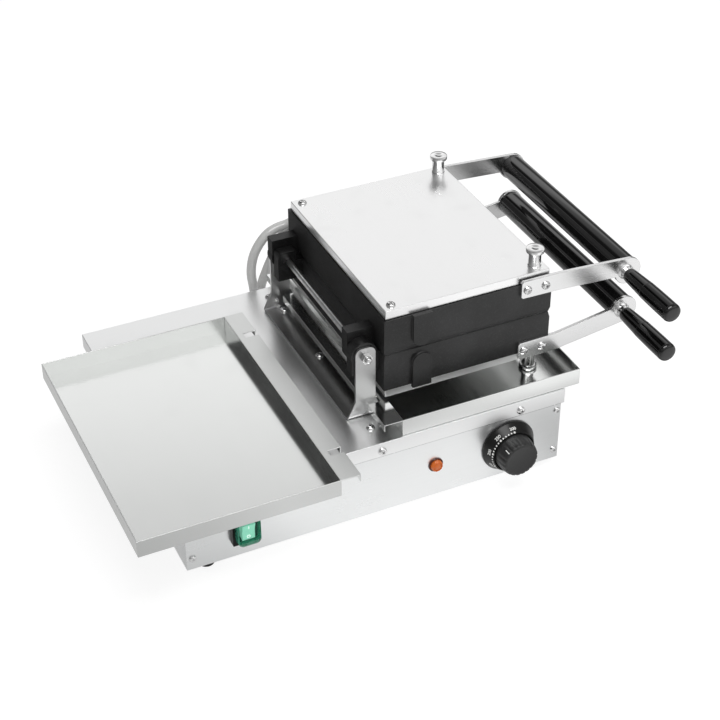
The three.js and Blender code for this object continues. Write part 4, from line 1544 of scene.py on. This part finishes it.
@dataclass
class Iron:
    """One half of the iron: casting, heater, lid, studs, straps, handle and their screws."""

    bench: Bench
    screws: Screws
    half: Half
    handle_height: float
    axle: Triple = AXLE
    cast_from_axle: float = 17.0
    cast_width: float = 198.0
    cast_depth: float = 252.0
    rim: float = 54.5
    stud_inset: float = 14.5
    stud_length: float = 22.5
    stud_shaft: float = 6.8
    stud_head: float = 10.0
    stud_head_height: float = 5.0
    stud_collar_steps: Pairs = ((0.544, 0.0), (0.544, 1.2), (0.0, 1.7))
    stud_neck_steps: Pairs = ((0.0, -1.0), (0.5, 0.0))
    stud_under_steps: Pairs = ((-1.0, 0.0), (-0.3, 0.3), (0.0, 1.0))
    stud_top_steps: Pairs = ((0.0, -1.1), (-0.35, -0.35), (-1.2, 0.0), (-6.8, 0.0), (-7.4, -0.35))
    stud_sink: float = 0.35
    lid_screw_inset: Pair = (13.0, 12.0)
    lid_screw_turns: Pair = (15.0, 35.0)
    strap_sheet: float = 4.0
    strap_screws: Pair = (183.0, 205.0)
    strap_screw_turn: float = 24.0
    strap_centre: float = 39.0
    handle_from_axle: float = 308.4
    tube_radius: float = 14.7
    tube_steps: Pairs = ((-1.2, 0.0), (-0.3, 0.5), (0.0, 1.6))
    neck_radius: float = 7.0
    neck_length: float = 7.0
    neck_steps: Pairs = ((2.0, 0.0), (2.0, 1.0), (0.6, 1.8), (0.0, 3.0))
    grip_length: float = 85.5
    grip_shift: float = 3.0
    grip_radius: float = 8.2
    grip_end: float = 10.6
    grip_steps: Pairs = (
        (-1.4, 0.0), (-0.4, 0.5), (0.0, 1.8), (0.35, 8.0), (1.0, 20.0), (1.85, 34.0), (1.95, 35.2),
        (1.55, 35.5), (1.6, 36.4), (2.0, 37.0),
    )
    grip_swell_steps: Pairs = ((-0.12, 52.0), (0.0, 64.0))
    grip_cap_steps: Pairs = (
        (0.0, -4.9), (-0.35, -4.5), (-0.60, -4.4), (-0.60, -4.0), (-0.30, -3.9), (-0.15, -3.5),
        (-0.70, -2.0), (-2.0, -0.8), (-4.2, -0.2), (-7.0, 0.0),
    )

    @property
    def body(self) -> str:
        """The body that this half's pieces move with."""
        return f"{self.half.value}_half"

    def _hold(self) -> Matrix:
        """The place of the half's own frame: its axle at the origin and its back face towards z."""
        turn = Matrix.Identity(4) if self.half is Half.UPPER else Matrix.Rotation(math.pi, 4, "X")
        return Matrix.Translation(self.bench.at(*self.axle)) @ turn

    def _front(self) -> float:
        """Which way along the half's own y the machine's front lies."""
        return -1.0 if self.half is Half.UPPER else 1.0

    def build(self) -> None:
        """Builds and dresses every piece of the half."""
        name = self.half.value
        self.bench.dressed(f"{name}_casting", FINISH.iron, self.body, "cast_iron", ease=0.7)
        self.bench.dressed(f"{name}_heater", FINISH.heater, self.body, "heater_steel", ease=0.0, smooth=60.0)
        self.bench.dressed(f"{name}_lid", FINISH.lid, self.body, "sheet_steel", ease=0.7)
        self.bench.dressed(f"{name}_gland", FINISH.bright, self.body, "polished_steel", ease=0.4)
        for end, side in (("front", self._front()), ("back", -self._front())):
            self.bench.dressed(f"{name}_strap_{end}", FINISH.strap, self.body, "sheet_steel", ease=0.5)
            self._stud(end, side)
            self._strap_screws(end, side)
        self._lid_screws()
        self._tube()
        self._grip()

    def _placed(self, point: Point, axis: Point) -> Matrix:
        """A place in the half's own frame, in metres, whose z runs along an axis of that frame."""
        return self._hold() @ standing(Vector(point) * MM, axis)

    def _stud(self, end: str, side: float) -> None:
        """Turns one standing stud: shaft, collar and flat head with an eased rim.

        Args:
            end: front or back, for its name.
            side: which way along the half's own y it stands.
        """
        low = self.stud_length - self.stud_head_height
        profile = [
            (0.0, 0.0),
            *stepped(self.stud_shaft, 0.0, self.stud_collar_steps),
            *stepped(self.stud_shaft, low, self.stud_neck_steps),
            *stepped(self.stud_head, low, self.stud_under_steps),
            *stepped(self.stud_head, self.stud_length, self.stud_top_steps),
            (0.0, self.stud_length - self.stud_sink),
        ]
        x = self.cast_from_axle + self.cast_width - self.stud_inset
        y = (self.cast_depth / 2 - self.stud_inset) * side
        place = self._placed((x, y, self.rim), (0, 0, 1))
        stud = self.bench.turned(f"{self.half.value}_turned_stud_{end}", profile, place, sides=56)
        node = f"{self.half.value}_stud_{end}"
        self.bench.wear(stud, FINISH.bright, self.body, "polished_steel", node)

    def _screw(self, name: str, kind: Recess, point: Point, axis: Point, turn: float) -> None:
        """Sets one screw in the half's own frame.

        Args:
            name: the screw's name after the half's.
            kind: the drive in its head.
            point: where it sits.
            axis: the direction that its head points in.
            turn: how far its drive is turned, in degrees.
        """
        place = self._placed(point, axis)
        out = place.to_3x3() @ Vector((0, 0, 1))
        self.screws.drive(f"{self.half.value}_{name}", kind, place.translation, out, self.body, turn)

    def _strap_screws(self, end: str, side: float) -> None:
        """Sets the two screws of one strap.

        Args:
            end: front or back, for their names.
            side: which way along the half's own y the strap lies.
        """
        y = (self.cast_depth / 2 + self.strap_sheet) * side
        for i, x in enumerate(self.strap_screws):
            point, axis = (x, y, self.strap_centre), (0, side, 0)
            self._screw(f"strap_screw_{end}_{i}", Recess.SOCKET, point, axis, self.strap_screw_turn * i)

    def _lid_screws(self) -> None:
        """Sets the screws at the lid's corners on the hinge side."""
        across, along = self.lid_screw_inset
        for i, side in enumerate((-1.0, 1.0)):
            point = (self.cast_from_axle + across, (self.cast_depth / 2 - along) * side, self.rim)
            turn = self.lid_screw_turns[0] + self.lid_screw_turns[1] * i
            self._screw(f"lid_screw_{i}", Recess.CROSS, point, (0, 0, 1), turn)

    def _tube(self) -> None:
        """Turns the lacquered bar between the straps, with eased ends."""
        half = self.cast_depth / 2
        profile = bar_outline(self.tube_radius, -half, half, self.tube_steps)
        place = self._placed((self.handle_from_axle, 0.0, self.handle_height), (0, 1, 0))
        tube = self.bench.turned(f"{self.half.value}_bar", profile, place, sides=72)
        node = f"{self.half.value}_handle_tube"
        self.bench.wear(tube, FINISH.tube, self.body, "black_gloss", node)

    def _grip(self) -> None:
        """Turns the bright neck and the black grip with its shoulder ring and end cap."""
        name, front = self.half.value, self._front()
        x = self.handle_from_axle - self.grip_shift
        start = self.cast_depth / 2 + self.strap_sheet
        neck_profile = [
            (0.0, 0.0),
            *stepped(self.neck_radius, 0.0, self.neck_steps),
            (self.neck_radius, self.neck_length),
            (0.0, self.neck_length),
        ]
        place = self._placed((x, start * front, self.handle_height), (0, front, 0))
        neck = self.bench.turned(f"{name}_neck", neck_profile, place)
        self.bench.wear(neck, FINISH.bright, self.body, "polished_steel", f"{name}_handle_neck")
        grip_profile = [
            (0.0, 0.0),
            *stepped(self.grip_radius, 0.0, self.grip_steps),
            *stepped(self.grip_end, 0.0, self.grip_swell_steps),
            *stepped(self.grip_end, self.grip_length, self.grip_cap_steps),
            (0.0, self.grip_length),
        ]
        place = self._placed((x, (start + self.neck_length) * front, self.handle_height), (0, front, 0))
        grip = self.bench.turned(f"{name}_grip", grip_profile, place, sides=72, smooth=30.0)
        self.bench.wear(grip, FINISH.grip, self.body, "black_gloss", f"{name}_handle_grip")


@dataclass
class Trays:
    """The two loose trays beside and under the iron."""

    bench: Bench

    def build(self) -> None:
        """Dresses both trays."""
        self.bench.dressed("left_tray", FINISH.left_tray, "left_tray", "sheet_steel", ease=0.3)
        self.bench.dressed("right_tray", FINISH.right_tray, "right_tray", "sheet_steel", ease=0.3)


@dataclass
class Leads:
    """The two grey leads from the back wall to the halves, and the glands in the wall."""

    bench: Bench
    radius: float = 5.6
    sides: int = 20
    steps: int = 9
    stub: float = 5.0
    slack: float = 20.0
    wall_y: float = 330.3
    wall_z: float = 50.0
    iron_x: float = 285.0
    iron_y: float = 301.8
    upper_from: float = 216.0
    upper_to: float = 197.0
    lower_from: float = 238.0
    lower_to: float = 149.0
    upper_shares: tuple[Triple, ...] = (
        (0.03, 0.6, 0.1), (-0.014, 0.44, 0.25), (-0.05, 0.38, 0.43), (0.022, 0.28, 0.602),
        (0.225, 0.135, 0.75), (0.41, 0.135, 0.792), (0.609, 0.035, 0.816), (0.812, -0.265, 0.878),
        (0.957, -0.7, 0.959),
    )
    lower_shares: tuple[Triple, ...] = (
        (-0.17, 0.8, 0.08), (-0.194, 1.085, 0.241), (-0.006, 1.085, 0.503), (0.2, 1.085, 0.703),
        (0.436, 0.885, 0.977), (0.596, 0.585, 1.08), (0.82, 0.035, 1.11), (0.98, -0.6, 1.05),
    )
    split_height: float = 166.0
    split_margins: tuple[int, int] = (8, 3)
    upper_bend: tuple[Triple, Triple] = ((212.0, 340.0, 66.0), (284.0, 310.0, 196.0))
    lower_bend: tuple[Triple, Triple] = ((232.0, 347.0, 60.0), (275.0, 331.0, 156.0))

    def build(self) -> None:
        """Builds and dresses the leads and the wall's glands."""
        for name in ("upper_lead_gland", "lower_lead_gland", "mains_gland"):
            self.bench.dressed(name, FINISH.gland, "base", "black_plastic", ease=0.4)
        upper = self._route(self.upper_from, self.upper_to, self.upper_shares)
        lower = self._route(self.lower_from, self.lower_to, self.lower_shares)
        split = next(i for i, point in enumerate(upper) if point.z >= self.split_height)
        before, after = upper[split - self.split_margins[0]], upper[split + self.split_margins[1]]
        low = self._tube("upper_lead_low", upper[: split + 1], upper)
        self._bend(low, "base", "lower_half", self.upper_bend[0], before, "upper_lead")
        high = self._tube("upper_lead_high", upper[split:], upper)
        self._bend(high, "lower_half", "upper_half", after, self.upper_bend[1])
        whole = self._tube("lower_lead_flex", lower, lower)
        self._bend(whole, "base", "lower_half", *self.lower_bend, "lower_lead")

    def _route(self, start_x: float, end_z: float, shares: Sequence[Triple]) -> list[Vector]:
        """A lead's centreline.

        Args:
            start_x: where it leaves the back wall.
            end_z: the height where it enters the iron.
            shares: its bends, as shares of the way across, of the slack and of the way up.

        Returns:
            Close points of the line, in millimetres.
        """
        start = Vector((start_x, self.wall_y, self.wall_z))
        end = Vector((self.iron_x, self.iron_y, end_z))
        out = Vector((0.0, self.stub, 0.0))
        bends = [
            Vector(
                (
                    start.x + (end.x - start.x) * across,
                    start.y + self.slack * away,
                    start.z + (end.z - start.z) * up,
                )
            )
            for across, away, up in shares
        ]
        return smooth_line([start, start + out, *bends, end + out, end], self.steps)

    def _tube(self, name: str, line: Sequence[Vector], whole: Sequence[Vector]) -> Piece:
        """A round tube along part of a line, with a map along its length.

        Args:
            name: the piece's name.
            line: the part of the line that it follows.
            whole: the whole line, which the rings are turned by, so that two parts meet.

        Returns:
            The tube.
        """
        first = list(whole).index(line[0])
        rings = ring_frames(whole)[first : first + len(line)]
        points, faces = [], []
        for centre, across, up in rings:
            for k in range(self.sides):
                turn = math.tau * k / self.sides
                offset = across * math.cos(turn) + up * math.sin(turn)
                points.append(self.bench.at(*(centre + offset * self.radius)))
        for i in range(len(rings) - 1):
            for k in range(self.sides):
                a, b = i * self.sides + k, i * self.sides + (k + 1) % self.sides
                faces.append((a, b, b + self.sides, a + self.sides))
        faces.append(tuple(range(self.sides))[::-1])
        last = (len(rings) - 1) * self.sides
        faces.append(tuple(range(last, last + self.sides)))
        mesh = bpy.data.meshes.new(name)
        mesh.from_pydata(points, [], faces)
        piece = bpy.data.objects.new(name, mesh)
        bpy.context.scene.collection.objects.link(piece)
        return self.bench.settle(piece, smooth=60.0)

    def _bend(
        self, piece: Piece, first: str, second: str, start: Point, end: Point, *replaces: str
    ) -> None:
        """Gives a lead its finish, hides the solids that it stands for and puts its place into its mesh.

        Args:
            piece: the lead's piece.
            first: the body at its start, which is only named in the log.
            second: the body at its end, which is only named in the log.
            start: where it leaves the first body.
            end: where it joins the second body.
            *replaces: the solids that it stands for.
        """
        piece.data.materials.append(FINISH.lead.material())
        if replaces:
            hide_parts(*replaces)
        self.bench.at(*start)
        self.bench.at(*end)
        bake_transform(piece)
        LOG.info("%s between %s and %s", piece.name, first, second)


def smooth_line(points: Sequence[Vector], steps: int) -> list[Vector]:
    """A smooth line through points, with bends spread by the root of their distances.

    Args:
        points: the points.
        steps: steps from each point to the next.

    Returns:
        The line's points.
    """
    spread = [points[0] * 2 - points[1], *points, points[-1] * 2 - points[-2]]
    line = []
    for i in range(len(points) - 1):
        p0, p1, p2, p3 = spread[i : i + 4]
        d0, d1, d2 = (max((b - a).length ** 0.5, 1e-4) for a, b in ((p0, p1), (p1, p2), (p2, p3)))
        leave = ((p1 - p0) / d0 - (p2 - p0) / (d0 + d1) + (p2 - p1) / d1) * d1
        enter = ((p2 - p1) / d1 - (p3 - p1) / (d1 + d2) + (p3 - p2) / d2) * d1
        for k in range(steps):
            t = k / steps
            line.append(
                p1
                + leave * t
                + (p2 * 3 - p1 * 3 - leave * 2 - enter) * t**2
                + (p1 * 2 - p2 * 2 + leave + enter) * t**3
            )
    return [*line, points[-1].copy()]


def ring_frames(line: Sequence[Vector]) -> list[tuple[Vector, Vector, Vector]]:
    """Two directions across a line at each of its points, carried along without twist.

    Args:
        line: the line's points.

    Returns:
        Each point with its two directions.
    """
    frames = []
    across = Vector((1.0, 0.0, 0.0))
    for i, point in enumerate(line):
        along = (line[min(i + 1, len(line) - 1)] - line[max(i - 1, 0)]).normalized()
        across = (across - along * across.dot(along)).normalized()
        frames.append((point, across, along.cross(across)))
    return frames


# Studio


@dataclass
class Studio:
    """The white floor, the sky, the lamp and the camera."""

    bench: Bench
    camera_at: Triple = (-370.8, -1227.0, 1179.7)
    azimuth: float = -24.73
    elevation: float = 35.74
    roll: float = -0.36
    focal_pixels: float = 1666.7
    picture: float = 720.0
    middle: Pair = (357.1, 360.5)
    sensor: float = 36.0
    sight: Pair = (0.05, 60.0)
    floor_size: float = 14.0
    floor_tint: Colour = (0.86, 0.86, 0.86)
    floor_glow: float = 1.28
    floor_glow_share: float = 0.66
    card_start: float = -0.5
    card_change: Pair = (-0.25, -0.29)
    lamp_at: Triple = (-0.1, -0.95, 2.05)
    lamp_aim: Triple = (0.0, 0.0, 0.1)
    lamp_size: Pair = (1.4, 0.8)
    lamp_watts: float = 22.0
    near_card: Pairs = ((0.10, 0.40), (0.31, 0.59), (0.40, 0.85), (0.62, 0.88), (0.72, 0.38))
    far_card: Pairs = (
        (0.21, 0.33), (0.31, 0.44), (0.40, 0.61), (0.58, 0.51), (0.68, 0.76), (0.75, 1.00),
    )
    sky_change: Pair = (-0.05, 0.05)
    sky_round: Pairs = ((-180, 0.90), (-140, 0.45), (-90, 0.32), (90, 0.40), (135, 1.35), (180, 0.90))
    sky_bands: Pairs = (
        (-90, 0.32), (-60, 0.24), (-44, 0.20), (-41, 0.04), (-38.6, 0.60), (-36.6, 0.60), (-34, 0.02),
        (-12, 0.03), (2, 1.00), (54, 1.00), (63, 0.25), (90, 0.40),
    )
    sky_height: Pairs = (
        (0.0, 0.45), (0.25, 0.55), (0.45, 1.12), (0.59, 1.12), (0.64, 0.80), (0.70, 0.60), (1.0, 0.42),
    )

    def build(self) -> None:
        """Builds the studio."""
        scene = bpy.context.scene
        scene.view_settings.view_transform = "Standard"
        self._camera()
        self._floor()
        self._sky()
        self._lamp()

    def _camera(self) -> None:
        """Sets the camera at the picture's place and angle."""
        data = bpy.data.cameras.new("picture_camera")
        camera = bpy.data.objects.new("picture_camera", data)
        bpy.context.scene.collection.objects.link(camera)
        bpy.context.scene.camera = camera
        a, e, r = (math.radians(n) for n in (self.azimuth, self.elevation, self.roll))
        back = Vector((math.sin(a) * math.cos(e), -math.cos(a) * math.cos(e), math.sin(e)))
        level = Vector((math.cos(a), math.sin(a), 0.0))
        upright = back.cross(level)
        right = level * math.cos(r) + upright * math.sin(r)
        up = upright * math.cos(r) - level * math.sin(r)
        turned = Matrix((right, up, back)).transposed().to_4x4()
        camera.matrix_world = Matrix.Translation(self.bench.at(*self.camera_at)) @ turned
        data.sensor_width = self.sensor
        data.lens = self.focal_pixels / self.picture * self.sensor
        data.shift_x = (self.picture / 2 - self.middle[0]) / self.picture
        data.shift_y = (self.middle[1] - self.picture / 2) / self.picture
        data.clip_start, data.clip_end = self.sight

    def _floor(self) -> None:
        """Lays the white floor, which keeps a soft shadow."""
        add = bpy.ops.mesh.primitive_plane_add
        floor = self.bench.fresh(add, "studio_floor", size=self.floor_size)
        material = bpy.data.materials.new("studio_floor")
        material.use_nodes = True
        tree = Tree(material.node_tree)
        eye, glossy, through = tree.rays()
        settings = {"operation": "MAXIMUM", "use_clamp": True}
        seen = tree.value("ShaderNodeMath", settings, {0: eye, 1: glossy + through})
        x, y, _ = tree.axes(tree.place())
        cards = (tree.ramp(x - self.card_start, card) for card in (self.near_card, self.far_card))
        shown = tree.blend(glossy, WHITE, tree.blend(y.over(*self.card_change), *cards))
        matt = tree.value("ShaderNodeBsdfDiffuse", None, {"Color": self.floor_tint})
        white = tree.value("ShaderNodeEmission", None, {"Color": shown, "Strength": self.floor_glow})
        inputs = {0: seen * self.floor_glow_share, 1: matt, 2: white}
        lit = tree.value("ShaderNodeMixShader", None, inputs)
        tree.node("ShaderNodeOutputMaterial", None, {"Surface": lit})
        floor.data.materials.append(material)

    def _sky(self) -> None:
        """Sets a soft sky that is plain white to the eye."""
        world = bpy.data.worlds.new("studio_sky")
        bpy.context.scene.world = world
        world.use_nodes = True
        tree = Tree(world.node_tree)
        x, y, z = tree.axes(tree.value("ShaderNodeTexCoord", out="Generated"))
        ramps = []
        for side, stops in ((y, self.sky_round), (z, self.sky_bands)):
            turn = tree.value("ShaderNodeMath", {"operation": "ARCTAN2"}, {0: x, 1: side})
            ramps.append(tree.ramp(turn * (0.5 / math.pi) + 0.5, [(a / 360 + 0.5, v) for a, v in stops]))
        around = tree.blend(y.over(*self.sky_change), *ramps)
        level = around * tree.ramp(z, self.sky_height)
        grey = tree.value("ShaderNodeCombineColor", None, {0: level, 1: level, 2: level})
        colour = tree.blend(tree.rays()[0], grey, WHITE)
        sky = tree.value("ShaderNodeBackground", None, {"Color": colour, "Strength": 1.0})
        tree.node("ShaderNodeOutputWorld", None, {"Surface": sky})

    def _lamp(self) -> None:
        """Hangs the soft lamp."""
        data = bpy.data.lights.new("front_lamp", "AREA")
        data.shape = "RECTANGLE"
        data.size, data.size_y = self.lamp_size
        data.energy = self.lamp_watts
        lamp = bpy.data.objects.new("front_lamp", data)
        bpy.context.scene.collection.objects.link(lamp)
        point = Vector(self.lamp_at)
        lamp.matrix_world = standing(point, point - Vector(self.lamp_aim))


def main() -> None:
    """Builds every sub-assembly in order, then the studio."""
    logging.basicConfig(level=logging.INFO, format="%(name)s: %(message)s")
    housing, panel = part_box("base_housing")[0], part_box("front_panel")[0]
    bench = Bench(Vector((housing.x, panel.y, housing.z)))
    screws = Screws(bench)
    Studio(bench).build()
    Base(bench, screws).build()
    Dial(bench).build()
    Lamp(bench).build()
    Switch(bench).build()
    Hinge(bench, screws).build()
    Iron(bench, screws, Half.UPPER, handle_height=28.8).build()
    Iron(bench, screws, Half.LOWER, handle_height=21.5).build()
    Trays(bench).build()
    Leads(bench).build()
    bench.clear()


if __name__ == "__main__":
    main()
